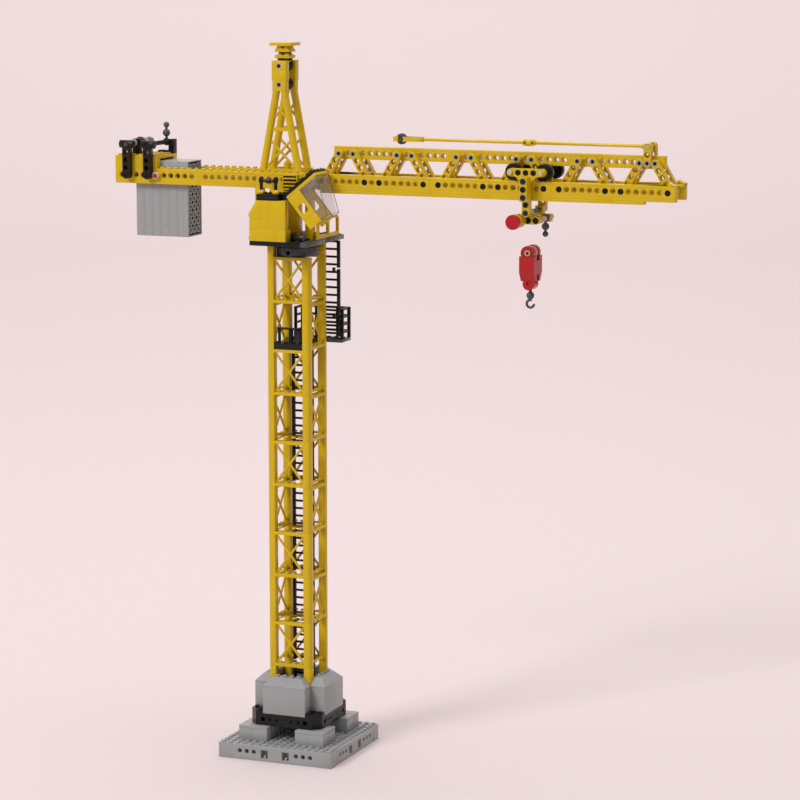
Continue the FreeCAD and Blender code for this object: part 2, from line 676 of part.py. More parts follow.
def make_links():
    arm = link_arm("arm_five", 5)
    short_arm = link_arm("arm_three", 3)
    links = []
    for y in ("-1.5 * pitch + 0.1", "0.5 * pitch + 0.1"):
        for bottom, top in zip(BOTTOM_PINS, TOP_PINS):
            lean = math.degrees(math.atan2(TRUSS_LEVEL - BEAM_LEVEL, top - bottom))
            links.append(copy(arm, bottom, y, "beam_bottom + hole_rise", turned(-lean, FRONT_TO_BACK)))
        links.append(copy(short_arm, 380, y, "chord_bottom + hole_rise", turned(-90, FRONT_TO_BACK)))
    node("jib_links", group(links))
    pins = []
    for x in BOTTOM_PINS:
        for span in (("-2.5 * pitch + 0.2", "-0.5 * pitch - 0.2"), ("0.5 * pitch + 0.2", "2.5 * pitch - 0.2")):
            pins.append(bar("y", "pin_radius", span, (x, "beam_bottom + hole_rise")))
    for x in TOP_PINS + [380]:
        pins.append(bar("y", "pin_radius", ("-1.5 * pitch", "1.5 * pitch"), (x, "chord_bottom + hole_rise")))
    node("link_pins", group(pins))
    return arm


def make_tie_bar():
    level = "tie_level"
    cheeks = [block(("-271", "-241"), side, ("-2.4", "2.4")) for side in (("-4", "-1.8"), ("1.8", "4"))]
    bars = cheeks + [
        block(("-243", "-240"), ("-4", "4"), ("-2.4", "2.4")),
        bar("x", "1.6", ("-241", "-3"), ("0", "0")),
        bar("x", "3.4", ("-130", "-122"), ("0", "0")),
        bar("y", "pin_radius", ("-11.9", "11.9"), ("0", "0")),
        bar("x", "2.6", ("-9", "-1"), ("0", "0")),
    ]
    bore = bar("y", "pin_radius + 0.05", ("-5", "5"), ("-263", "0"))
    node("tie_bar", place(cut(fuse(bars), [bore]), 380, 0, level))
    roller = sheave("tie_sheave_blank", "5.6", "1.5", "4")
    node("tie_sheave", place(roller, "380 - 263", 0, level, TURNS["y"]))


def make_winch(arm):
    low, high = "rail_top", "rail_top + brick_height"
    high_plate = f"{high} + plate_height"
    mount = fuse([
        block(("counter_end", "counter_end + 6 * pitch"), ("-3 * pitch", "-2 * pitch"), (low, high)),
        block(("counter_end", "counter_end + 6 * pitch"), ("2 * pitch", "3 * pitch"), (low, high)),
        block(("counter_end", "counter_end + 6 * pitch"), ("-3 * pitch", "3 * pitch"), (high, f"{high} + plate_height")),
    ])
    node("winch_mount", mount)
    level = "beam_bottom + hole_rise + 4 * pitch"
    supports = []
    for x in ("counter_end + 2 * pitch", "counter_end + 5 * pitch"):
        upright = copy(arm, x, "-4 * pitch", "beam_bottom + hole_rise", turned(-90, FRONT_TO_BACK))
        sleeve = bar("x", "4.1", (f"{x} - 7.5", f"{x} + 8"), ("-28.1", level))
        supports.append(cut(fuse([upright, sleeve]), [bar("y", "hole_radius", ("-33", "-23"), (x, level))]))
    bearing = block(("winch_x - 4", "winch_x + 4"), ("-8", "-1"), (high_plate, f"{level} + 4"))
    supports.append(cut(bearing, [bar("y", "hole_radius", ("-9", "0"), ("winch_x", level))]))
    # upright spare hook on a fixed rod, held by a bracket
    rod_x = "winch_x + 3 * pitch"
    bracket = fuse([
        block((f"{rod_x} - 10", f"{rod_x} + 8"), ("2 * pitch", "3 * pitch"), (high_plate, f"{high_plate} + plate_height")),
        block((f"{rod_x} + 2", f"{rod_x} + 8"), ("2 * pitch", "3 * pitch"), (high_plate, f"{high_plate} + 15")),
        bar("y", "pin_radius", ("-31.8", "2 * pitch + 2"), (rod_x, level)),
        block((rod_x, f"{rod_x} + 3"), ("2 * pitch", "2 * pitch + 2"), (f"{level} - 2", f"{level} + 2")),
        ball("4", rod_x, "2 * pitch", level),
        bar("z", "1.3", (level, f"{level} + 17.8"), (rod_x, "2 * pitch")),
        ball("3.9", rod_x, "2 * pitch", f"{level} + 9.4"),
        ball("3", rod_x, "2 * pitch", f"{level} + 17.8"),
    ])
    node("winch_supports", group(supports + [bracket]))
    drum = revolve("winch_blank", [
        ("0", "-31.8"), ("pin_radius", "-31.8"), ("pin_radius", "-22"), ("3.7", "-22"), ("3.7", "-12"),
        ("pin_radius", "-12"), ("pin_radius", "1"), ("5.6", "1"), ("5.6", "4.6"), ("4.2", "4.6"),
        ("4.2", "24"), ("3", "24"), ("3", "29"), ("0", "29"),
    ])
    node("winch_drum", place(drum, "winch_x", 0, level, TURNS["y"]))
    weight = block(("counter_end + 2.5 * pitch", "counter_end + 10 * pitch"), ("-2 * pitch", "2 * pitch"),
                   ("deck_top - 4", "deck_top + 74.8"))
    node("counterweight", weight)


# ---- crane head ----------------------------------------------------------------------------

def make_head():
    low, high = "rail_top", "head_top - 6 * plate_height"
    frames = []
    for front in (-16, 8):
        middle = front + 4
        x = SIZES["head_x"]
        side = (f"{front} + 0.1", f"{front} + 7.9")
        pieces = [
            strut((x - 19.8, middle, SIZES["rail_top"] + 1), (x - 4, middle, 696), "leg_radius"),
            strut((x + 19.8, middle, SIZES["rail_top"] + 1), (x + 4, middle, 696), "leg_radius"),
            block(("head_x - 7.4", "head_x + 7.4"), side, ("694", high)),
            block((x - 24, x - 15.6), side, ("rail_top", "rail_top + plate_height")),
            block((x + 15.6, x + 24), side, ("rail_top", "rail_top + plate_height")),
            block((x - 13, x + 13), (middle - 1.6, middle + 1.6), ("653", "656.6")),
            block((x - 19, x + 19), (middle - 2.4, middle + 2.4), (low, "rail_top + 3.2")),
            strut((x - 17, middle, 615), (x + 13.8, middle, 645.9), "brace_radius"),
            strut((x + 17, middle, 615), (x - 13.8, middle, 645.9), "brace_radius"),
            strut((x - 8.8, middle, 664.7), (x + 7.6, middle, 682.3), "brace_radius"),
            strut((x + 8.8, middle, 664.7), (x - 7.6, middle, 682.3), "brace_radius"),
        ]
        drill = bar("y", "hole_radius", (front - 1, front + 9), ("head_x", "head_pin_low"))
        frames.append(cut(fuse(pieces), [drill]))
    node("head_frames", group(frames))
    blocks = []
    for front in (-16, 8):
        solid = block(("head_x - pitch", "head_x + pitch"), (front, front + 8), (high, "head_top"))
        blocks.append(cut(solid, [bar("y", "hole_radius", (front - 1, front + 9), ("head_x", "head_pin_high"))]))
    node("head_blocks", group(blocks))
    for label, level in (("head_sheave_upper", "head_pin_high"), ("head_sheave_lower", "head_pin_low")):
        wheel = sheave(label + "_blank", "sheave_radius", "7", "2 * pitch")
        node(label, place(wheel, "head_x", 0, level, TURNS["y"]))
    top = "head_top"
    lamp = fuse([
        block(("head_x - pitch", "head_x + pitch"), ("-2 * pitch", "2 * pitch"), (top, f"{top} + 1")),
        block(("head_x - pitch", "head_x + pitch"), ("-1.5 * pitch", "1.5 * pitch"), (f"{top} + 1", f"{top} + plate_height")),
        block(("head_x - pitch", "head_x + pitch"), ("-pitch", "pitch"), (f"{top} + 3.2", f"{top} + 6.4")),
        block(("head_x - 6", "head_x + 6"), ("-6", "6"), (f"{top} + 6.4", f"{top} + 16")),
        block(("head_x - 1.5 * pitch", "head_x + 1.5 * pitch"), ("-1.5 * pitch", "1.5 * pitch"),
              (f"{top} + 16", f"{top} + 19.2")),
    ])
    sheave_room = block(("head_x - pitch - 1", "head_x + pitch + 1"), ("-7.4", "7.4"), (f"{top} - 1", f"{top} + 2.2"))
    node("head_beacon", cut(lamp, [sheave_room]))


# ---- trolley and hook ----------------------------------------------------------------------

def gusset_mould():
    """Web that stiffens the corner between the trolley's cross arm and its stem."""
    return prism("gusset", "XZ_Plane", [
        ("-10.9", "0"), ("-10.9", "-3.9"), ("-3.9", "-10.9"),
        ("3.9", "-10.9"), ("10.9", "-3.9"), ("10.9", "0"),
    ], "arm_thickness")


def make_trolley():
    pieces = []
    for low, high in (("-2.5 * pitch - arm_thickness - running_gap", "-2.5 * pitch - running_gap"),
                      ("2.5 * pitch + running_gap", "2.5 * pitch + arm_thickness + running_gap")):
        side = (low, high)
        arms = fuse([
            block(("trolley_x - 2 * pitch", "trolley_x + 2 * pitch"), side, ("axle_level - 3.9", "axle_level + 3.9")),
            bar("y", "3.9", side, ("trolley_x - 2 * pitch", "axle_level")),
            bar("y", "3.9", side, ("trolley_x + 2 * pitch", "axle_level")),
            block(("trolley_x - 3.9", "trolley_x + 3.9"), side, ("stem_foot", "axle_level")),
            bar("y", "3.9", side, ("trolley_x", "stem_foot")),
            place(gusset_mould(), "trolley_x", high, "axle_level"),
        ])
        past = (f"{low} - 1", f"{high} + 1")
        holes = [bar("y", "hole_radius", past, (f"trolley_x + {step} * pitch", "axle_level"))
                 for step in (-2, -1, 0, 1, 2)]
        holes += [bar("y", "hole_radius", past, ("trolley_x", f"stem_foot + {step} * pitch")) for step in range(5)]
        pieces.append(cut(arms, holes))
    for low, high in (("-4.5 * pitch", "-3.5 * pitch - 0.2"), ("3.5 * pitch + 0.2", "4.5 * pitch")):
        strap = block(("trolley_x - 3.9", "trolley_x + 3.9"), (low, high), ("stem_foot + 1.5 * pitch", "axle_level - 4.2"))
        holes = [bar("y", "hole_radius", (f"{low} - 1", f"{high} + 1"), ("trolley_x", f"stem_foot + {step} * pitch"))
                 for step in (2, 3, 4)]
        pieces.append(cut(strap, holes))
    for side in (("-2.5 * pitch", "-2.5 * pitch + 7.8"), ("1.5 * pitch + 0.2", "2.5 * pitch")):
        bracket = fuse([
            block(("trolley_x - 1.5 * pitch", "trolley_x + 1.5 * pitch"), side, ("shaft_level - 3.9", "shaft_level + 3.9")),
            block(("trolley_x - 3.9", "trolley_x + 3.9"), side, ("shaft_level", "stem_foot + 3.9")),
        ])
        past = (f"{side[0]} - 1", f"{side[1]} + 1")
        holes = [bar("y", "hole_radius", past, ("trolley_x + pitch", "shaft_level")),
                 bar("y", "hole_radius", past, ("trolley_x", "shaft_level")),
                 bar("y", "hole_radius", past, ("trolley_x", "stem_foot"))]
        pieces.append(cut(bracket, holes))
    # spare hook that hangs on the hoist shaft: an eye, a rod and two balls
    spare_x, spare_y = "trolley_x + pitch", "10"
    spare = fuse([
        bar("y", "3.9", ("8", "12"), (spare_x, "shaft_level")),
        bar("z", "1.3", ("shaft_level - 16", "shaft_level - 2"), (spare_x, spare_y)),
        ball("3.9", spare_x, spare_y, "shaft_level - 8.4"),
        ball("3", spare_x, spare_y, "shaft_level - 16"),
    ])
    eye = bar("y", "pin_radius + 0.1", ("7", "13"), (spare_x, "shaft_level"))
    node("trolley_frame", group(pieces + [cut(spare, [eye])]))
    pins = [bar("y", "pin_radius", ("-3.5 * pitch", "3.5 * pitch"), ("trolley_x", "stem_foot"))]
    for step in (2, 3, 4):
        for span in (("-4.5 * pitch - 0.4", "-2.5 * pitch - 0.6"), ("2.5 * pitch + 0.6", "4.5 * pitch + 0.4")):
            pins.append(bar("y", "pin_radius", span, ("trolley_x", f"stem_foot + {step} * pitch")))
    node("trolley_pins", group(pins))
    motor = [bar("y", "6.4", ("-5 * pitch", "-2.5 * pitch"), ("trolley_x - pitch", "shaft_level")),
             bar("y", "7.5", ("-5.5 * pitch", "-5 * pitch"), ("trolley_x - pitch", "shaft_level"))]
    node("hoist_motor", group(motor))
    tread = "wheel_radius"
    wheel = revolve("wheel_blank", [
        ("0", "-pitch * 1.8"), ("pin_radius", "-pitch * 1.8"), ("pin_radius", "-3.6"), ("4.4", "-3.6"),
        ("4.4", "-2.2"), (f"{tread} - 0.8", "-2.2"), (f"{tread} - 0.8", "-3.6"), (tread, "-3.2"), (tread, "3.2"),
        (f"{tread} - 0.8", "3.6"), (f"{tread} - 0.8", "2.2"), ("4.4", "2.2"), ("4.4", "3.6"), ("0", "3.6"),
    ])
    for label, step in (("inner_wheels", -2), ("outer_wheels", 2)):
        where = f"trolley_x + {step} * pitch"
        front = copy(wheel, where, "-2 * pitch", "axle_level", TURNS["y"])
        rear = copy(wheel, where, "2 * pitch", "axle_level", FreeCAD.Rotation(FreeCAD.Vector(1, 0, 0), 90))
        node(label, group([front, rear]))
    shaft = revolve("shaft_blank", [
        ("0", "-20"), ("pin_radius", "-20"), ("pin_radius", "-10"), ("3.8", "-10"), ("3.8", "-8.6"), ("3", "-8.6"),
        ("3", "-4"), ("3.8", "-4"), ("3.8", "-2.6"), ("pin_radius", "-2.6"), ("pin_radius", "28"), ("0", "28"),
    ])
    node("hoist_shaft", place(shaft, "trolley_x + pitch", 0, "shaft_level", TURNS["y"]))


def make_hook():
    web = ("block_bottom + 16", "block_top - 15")
    # the block narrows towards its lower lug on the front and on the back
    body = place(prism("hook_block_blank", "YZ_Plane", [
        ("-1.5 * pitch", "block_top - 10.5"), ("-1.5 * pitch", "block_bottom + 18"), ("-6.4", "block_bottom + 9"),
        ("6.4", "block_bottom + 9"), ("1.5 * pitch", "block_bottom + 18"), ("1.5 * pitch", "block_top - 10.5"),
    ], "2 * pitch", midplane=True), "hook_x")
    upper_lug = bar("y", "7.3", ("-9.6", "9.6"), ("hook_x", "block_pin_level"))
    lower_lug = bar("y", "6.2", ("-6.4", "6.4"), ("hook_x", "block_bottom + 6.2"))
    tools = [
        block(("hook_x - 10", "hook_x + 10"), ("-4", "4"), (web[1], "block_top + 1")),
        block(("hook_x - 10", "hook_x + 10"), ("-3", "3"), ("block_bottom + 7", web[0])),
        bar("y", "hole_radius", ("-13", "13"), ("hook_x", "block_pin_level")),
        bar("y", "hole_radius", ("-13", "13"), ("hook_x", "block_bottom + 7")),
        bar("z", "shank_radius + 0.05", ("block_bottom - 1", "block_bottom + 4"), ("hook_x", "0")),
    ]
    node("hook_block", cut(fuse([body, upper_lug, lower_lug]), tools))
    pulley = sheave("block_sheave_blank", "6.4", "3.6", "10")
    node("block_sheave", place(pulley, "hook_x", 0, "block_pin_level", TURNS["y"]))
    # the hook curls down the left side and up again on the right, open at the upper right
    ring = doc.addObject("Part::Torus", "hook_ring")
    ring.Radius1, ring.Radius2 = 3.8, 1.35
    ring.Angle3 = 270
    upright = FreeCAD.Rotation(FreeCAD.Vector(1, 0, 0), 90).multiply(turned(90))
    place(ring, "hook_x", 0, "block_bottom - 14.2", upright)
    eye = ball("4", "hook_x", "0", "block_bottom - 5.8", "hook_ball")
    shank = bar("z", "shank_radius", ("block_bottom - 11.2", "block_bottom + 3.5"), ("hook_x", "0"))
    node("hook", fuse([ring, eye, shank]))


def check_and_export():
    for item in doc.Objects:
        if "Invalid" in item.State or "Error" in item.State:
            raise RuntimeError(f"{item.Name} failed: {item.State}")
    os.makedirs("parts", exist_ok=True)
    for item in nodes:
        shape = item.Shape
        if shape.isNull() or not shape.isValid() or not shape.Solids:
            raise RuntimeError(f"{item.Label} has no valid shape")
    for item in nodes:
        item.Shape.exportStep(os.path.join("parts", item.Label + ".step"))
    print(len(nodes), "nodes,", sum(len(item.Shape.Solids) for item in nodes), "solids")


make_base()
make_chassis()
make_pedestal()
make_tower()
make_landings()
make_turntable()
make_deck()
make_house()
make_cab()
make_beams()
five_hole_arm = make_links()
make_tie_bar()
make_winch(five_hole_arm)
make_head()
make_trolley()
make_hook()
doc.recompute()
check_and_export()
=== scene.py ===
import json
import math

import bmesh
import bpy
from mathutils import Matrix, Vector


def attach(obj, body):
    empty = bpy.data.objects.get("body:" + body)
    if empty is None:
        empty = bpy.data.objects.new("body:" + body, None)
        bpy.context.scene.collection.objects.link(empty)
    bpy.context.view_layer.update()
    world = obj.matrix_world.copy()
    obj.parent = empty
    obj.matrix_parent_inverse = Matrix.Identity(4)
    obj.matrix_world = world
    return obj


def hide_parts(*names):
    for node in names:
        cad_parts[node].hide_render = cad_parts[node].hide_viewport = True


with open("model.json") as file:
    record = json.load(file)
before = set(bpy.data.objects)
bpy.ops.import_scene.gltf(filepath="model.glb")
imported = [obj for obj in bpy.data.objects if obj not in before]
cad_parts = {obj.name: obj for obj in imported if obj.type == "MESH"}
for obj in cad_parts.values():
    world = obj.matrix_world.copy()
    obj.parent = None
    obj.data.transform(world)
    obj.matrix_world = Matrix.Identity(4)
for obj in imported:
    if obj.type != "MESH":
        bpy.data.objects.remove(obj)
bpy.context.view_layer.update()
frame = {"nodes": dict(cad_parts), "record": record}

# Sizes are millimetres in the crane's own frame, and are scaled once on the way to Blender.
# The studio is in metres.
MM = 0.001
PITCH = 8.0
PLATE = 3.2
BRICK = 9.6
STUD_RADIUS = 2.4
STUD_HEIGHT = 1.7
STUD_EDGE = 0.22
HOLE_RADIUS = 2.4
RECESS_RADIUS = 3.05
RECESS_DEPTH = 0.9
EDGE = 0.18           # easing of a moulded edge
CREASE = 32           # degrees; sharper edges stay crisp in the shading

# heights of the levels that several parts share
GROUND_PLATE_TOP = 16
CHASSIS_TOP = 48
WALL_FOOT = 44.8
SLOPE_TOP = 83.2
FIRST_SECTION_TOP = 92.8
SECTION_HEIGHT = 48
SECTIONS = 9
PLATFORM_TOP = 435.2
SHAFT_LEVEL = 572.2   # motor, hoist shaft and the foot of the trolley bracket
BRACKET_LEVEL = 588.2
DECK = (539.2, 544)
ROOF_TOP = 592
BEAM_FOOT = 598.4
BEAM_AXIS = 604.2     # holes of the lower beams
PLATE_TOP = 611.2
RAIL_TOP = 620.2      # axle line of the trolley wheels
COUNTER_TOP = 624
CHORD_AXIS = 631.9    # holes of the upper chord
WINCH_AXIS = 636.2
TIE_AXIS = 647.9
SHEAVE_AXES = {"upper": 719.5, "lower": 700.5}
BLOCK_AXIS = 538.2

# places along the jib
WINCH_X = -180
HEAD_X = -12
MOTOR_X = 252
BLOCK_X = 256
TROLLEY_X = 260
SHAFT_X = 268
LAST_CHORD_HOLE = 380

AXIS_IN_BEAM = 5.8    # height of the holes over a brick beam's underside
ARM_HALF = 3.9        # half the width of a round-ended arm
PIN_RADIUS = 2.3
AXLE_RADIUS = 2.38
CAB_WIDTH = 31.6
QUARTER_TURNS = [Matrix.Rotation(math.radians(90 * turn), 4, "Z") for turn in range(4)]

node_body = {}
for body_name, members in frame["record"]["behaviour"]["bodies"].items():
    for member in members:
        node_body[member] = body_name
node_slot = {part["node"]: part["material_slot"] for part in frame["record"]["subparts"]}


# ---- materials -----------------------------------------------------------------------------

PLASTIC_IOR = 1.5


def plastic(name, colour, roughness=0.22, scuff=0.08, gloss=0.5):
    """Moulded plastic: slight colour drift, fine orange peel, faint handling scuffs."""
    material = bpy.data.materials.new(name)
    material.use_nodes = True
    tree = material.node_tree
    shader = tree.nodes["Principled BSDF"]
    place = tree.nodes.new("ShaderNodeTexCoord")

    def noise(scale, detail):
        texture = tree.nodes.new("ShaderNodeTexNoise")
        texture.inputs["Scale"].default_value = scale
        texture.inputs["Detail"].default_value = detail
        tree.links.new(place.outputs["Object"], texture.inputs["Vector"])
        return texture

    drift = noise(scale=14.0, detail=2.0)
    ramp = tree.nodes.new("ShaderNodeValToRGB")
    ramp.color_ramp.elements[0].position = 0.3
    ramp.color_ramp.elements[1].position = 0.7
    ramp.color_ramp.elements[0].color = (*[channel * 0.975 for channel in colour], 1)
    ramp.color_ramp.elements[1].color = (*[min(1, channel * 1.025) for channel in colour], 1)
    tree.links.new(drift.outputs["Fac"], ramp.inputs["Fac"])
    tree.links.new(ramp.outputs["Color"], shader.inputs["Base Color"])
    scratch = noise(scale=260.0, detail=5.0)
    span = tree.nodes.new("ShaderNodeMapRange")
    span.inputs["From Min"].default_value = 0.45
    span.inputs["From Max"].default_value = 0.8
    span.inputs["To Min"].default_value = roughness
    span.inputs["To Max"].default_value = roughness + scuff
    tree.links.new(scratch.outputs["Fac"], span.inputs["Value"])
    tree.links.new(span.outputs["Result"], shader.inputs["Roughness"])
    peel = noise(scale=900.0, detail=1.0)
    bump = tree.nodes.new("ShaderNodeBump")
    bump.inputs["Strength"].default_value = 0.03
    bump.inputs["Distance"].default_value = 0.00005
    tree.links.new(peel.outputs["Fac"], bump.inputs["Height"])
    tree.links.new(bump.outputs["Normal"], shader.inputs["Normal"])
    shader.inputs["Specular IOR Level"].default_value = gloss
    shader.inputs["IOR"].default_value = PLASTIC_IOR
    return material


def clear_plastic(name):
    """Thin clear moulding: mostly see-through, with a glossy skin."""
    material = bpy.data.materials.new(name)
    material.use_nodes = True
    shader = material.node_tree.nodes["Principled BSDF"]
    shader.inputs["Base Color"].default_value = (0.45, 0.44, 0.42, 1)
    shader.inputs["Roughness"].default_value = 0.03
    shader.inputs["IOR"].default_value = PLASTIC_IOR
    shader.inputs["Alpha"].default_value = 0.13
    return material


MATERIALS = {
    "yellow_plastic": plastic("yellow_plastic", (0.62, 0.415, 0.006), gloss=0.28),
    "light_grey_plastic": plastic("light_grey_plastic", (0.325, 0.33, 0.332), gloss=0.3),
    "dark_grey_plastic": plastic("dark_grey_plastic", (0.068, 0.07, 0.072), gloss=0.35),
    "black_plastic": plastic("black_plastic", (0.005, 0.005, 0.0052), roughness=0.28, gloss=0.3),
    "clear_plastic": clear_plastic("clear_plastic"),
    "red_plastic": plastic("red_plastic", (0.42, 0.010, 0.014), gloss=0.35),
    "tan_plastic": plastic("tan_plastic", (0.58, 0.46, 0.28)),
    "blue_plastic": plastic("blue_plastic", (0.006, 0.022, 0.095)),
}


# ---- mesh helpers --------------------------------------------------------------------------

def smooth_by_angle(mesh, degrees):
    """Smooth shading, with edges sharper than the angle kept crisp."""
    work = bmesh.new()
    work.from_mesh(mesh)
    limit = math.radians(degrees)
    for face in work.faces:
        face.smooth = True
    for edge in work.edges:
        edge.smooth = not (len(edge.link_faces) == 2 and edge.calc_face_angle(0) > limit)
    work.to_mesh(mesh)
    work.free()


def finish_piece(name, mesh, body, slot, replaced=(), crease=CREASE):
    """A finished mesh becomes a piece that rides on a body, in its material."""
    smooth_by_angle(mesh, crease)
    mesh.materials.clear()
    mesh.materials.append(MATERIALS[slot])
    piece = bpy.data.objects.new(name, mesh)
    bpy.context.scene.collection.objects.link(piece)
    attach(piece, body)
    if replaced:
        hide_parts(*replaced)
    return piece


def bevelled(mesh, width):
    """The mesh with its sharp edges rounded over a width in millimetres."""
    holder = bpy.data.objects.new("holder", mesh)
    bpy.context.scene.collection.objects.link(holder)
    bevel = holder.modifiers.new("bevel", "BEVEL")
    bevel.width = width * MM
    bevel.segments = 2
    bevel.limit_method = "ANGLE"
    bevel.angle_limit = math.radians(40)
    graph = bpy.context.evaluated_depsgraph_get()
    result = bpy.data.meshes.new_from_object(holder.evaluated_get(graph))
    bpy.data.objects.remove(holder)
    return result


def middle(points):
    """The mean of some vertices, in millimetres."""
    return sum((vertex.co for vertex in points), Vector()) / max(1, len(points)) / MM


def part_of(work, point, normal, keep_ahead):
    """A capped copy of the side of a solid that lies ahead of a plane, or behind it."""
    side = work.copy()
    cut = bmesh.ops.bisect_plane(side, geom=side.verts[:] + side.edges[:] + side.faces[:],
                                 dist=1e-7, plane_co=point, plane_no=normal,
                                 clear_inner=keep_ahead, clear_outer=not keep_ahead)
    rim = [item for item in cut["geom_cut"] if isinstance(item, bmesh.types.BMEdge)]
    if rim:
        bmesh.ops.triangle_fill(side, use_beauty=True, use_dissolve=True, edges=rim)
        bmesh.ops.recalc_face_normals(side, faces=side.faces)
    return side


def split(mesh, seams):
    """Cuts a solid into the bricks it is built from. A seam is (axis, place, limits), in
    millimetres, and limits {axis: (low, high)} says which pieces it crosses."""
    first = bmesh.new()
    first.from_mesh(mesh)
    bricks = [first]
    for axis, place, limits in seams:
        point = Vector([place * MM if letter == axis else 0 for letter in "xyz"])
        normal = Vector([1 if letter == axis else 0 for letter in "xyz"])
        after = []
        for brick in bricks:
            centre = middle(brick.verts)
            inside = all(low <= centre["xyz".index(letter)] <= high
                         for letter, (low, high) in limits.items())
            spread = [vertex.co["xyz".index(axis)] / MM for vertex in brick.verts]
            if inside and spread and min(spread) < place - 0.01 and max(spread) > place + 0.01:
                after += [part_of(brick, point, normal, ahead) for ahead in (True, False)]
                brick.free()
            else:
                after.append(brick)
        bricks = after
    whole = bmesh.new()
    for brick in bricks:
        piece = bpy.data.meshes.new("brick")
        brick.to_mesh(piece)
        brick.free()
        whole.from_mesh(piece)
        bpy.data.meshes.remove(piece)
    whole.to_mesh(mesh)
    whole.free()


def loose_parts(mesh):
    """The separate solids of a mesh, in the order of their first vertices."""
    work = bmesh.new()
    work.from_mesh(mesh)
    seen = set()
    solids = []
    for first in work.verts:
        if first.index in seen:
            continue
        reach, found = [first], {first.index}
        while reach:
            for edge in reach.pop().link_edges:
                for vertex in edge.verts:
                    if vertex.index not in found:
                        found.add(vertex.index)
                        reach.append(vertex)
        seen |= found
        solids.append(found)
    meshes = []
    for found in solids:
        only = work.copy()
        others = [vertex for vertex in only.verts if vertex.index not in found]
        bmesh.ops.delete(only, geom=others, context="VERTS")
        piece = bpy.data.meshes.new("solid")
        only.to_mesh(piece)
        only.free()
        meshes.append(piece)
    work.free()
    return meshes


def eased(node, edge, seams=()):
    """A CAD node's own shape with its sharp edges eased, as a moulded piece has them."""
    mesh = frame["nodes"][node].data.copy()
    work = bmesh.new()
    work.from_mesh(mesh)
    bmesh.ops.remove_doubles(work, verts=work.verts, dist=0.001 * MM)
    bmesh.ops.dissolve_limit(work, angle_limit=math.radians(1),
                             verts=work.verts, edges=work.edges)
    work.verts.index_update()
    work.to_mesh(mesh)
    work.free()
    if seams:
        whole = bmesh.new()
        for solid in loose_parts(mesh):
            split(solid, seams)
            whole.from_mesh(solid)
            bpy.data.meshes.remove(solid)
        whole.to_mesh(mesh)
        whole.free()
    return bevelled(mesh, edge)


def mould(node, edge=EDGE, seams=(), slot=None, crease=CREASE):
    """A CAD node drawn as its own shape with eased edges, in its own material or another."""
    return finish_piece(node + "_moulded", eased(node, edge, seams), node_body[node],
                        slot or node_slot[node], (node,), crease)


def mould_sorted(node, slot_of, edge):
    """A node whose solids go to different slots; a solid sorted to None is left out and drawn
    separately.
    """
    sorted_solids = {}
    for solid in loose_parts(eased(node, edge)):
        slot = slot_of(middle(solid.vertices))
        if slot:
            sorted_solids.setdefault(slot, bmesh.new()).from_mesh(solid)
        bpy.data.meshes.remove(solid)
    for slot, work in sorted(sorted_solids.items(), key=lambda item: item[0] != node_slot[node]):
        mesh = bpy.data.meshes.new(node)
        work.to_mesh(mesh)
        work.free()
        replaced = (node,) if slot == node_slot[node] else ()
        finish_piece(f"{node}_{slot}", mesh, node_body[node], slot, replaced)


# an outline drawn in X-Y is stood up so that its depth runs along an axis
TURN = {
    "y": Matrix(((1, 0, 0), (0, 0, 1), (0, 1, 0))).to_4x4(),
    "x": Matrix(((0, 0, 1), (1, 0, 0), (0, 1, 0))).to_4x4(),
}


def rounded(x, y, radii, steps=5):
    """Points of a rectangle between (low, high) pairs, with its corners rounded: one radius, or
    one each for the upper right, upper left, lower left and lower right corner."""
    radii = [radii] * 4 if isinstance(radii, (int, float)) else radii
    corners = ((x[1], y[1]), (x[0], y[1]), (x[0], y[0]), (x[1], y[0]))
    points = []
    for index, (corner_x, corner_y) in enumerate(corners):
        radius = radii[index]
        centre_x = corner_x - radius if index in (0, 3) else corner_x + radius
        centre_y = corner_y - radius if index in (0, 1) else corner_y + radius
        for step in range(steps):
            angle = math.radians(90 * index + 90 * step / (steps - 1))
            points.append((centre_x + radius * math.cos(angle), centre_y + radius * math.sin(angle)))
    return points


def ease(part, edges, width):
    """Rounds some edges of a solid that is still being made."""
    bmesh.ops.bevel(part, geom=edges, offset=width, segments=2, profile=0.5, affect="EDGES")


def sharp_edges(part, degrees):
    return [line for line in part.edges if line.calc_face_angle(0) > math.radians(degrees)]


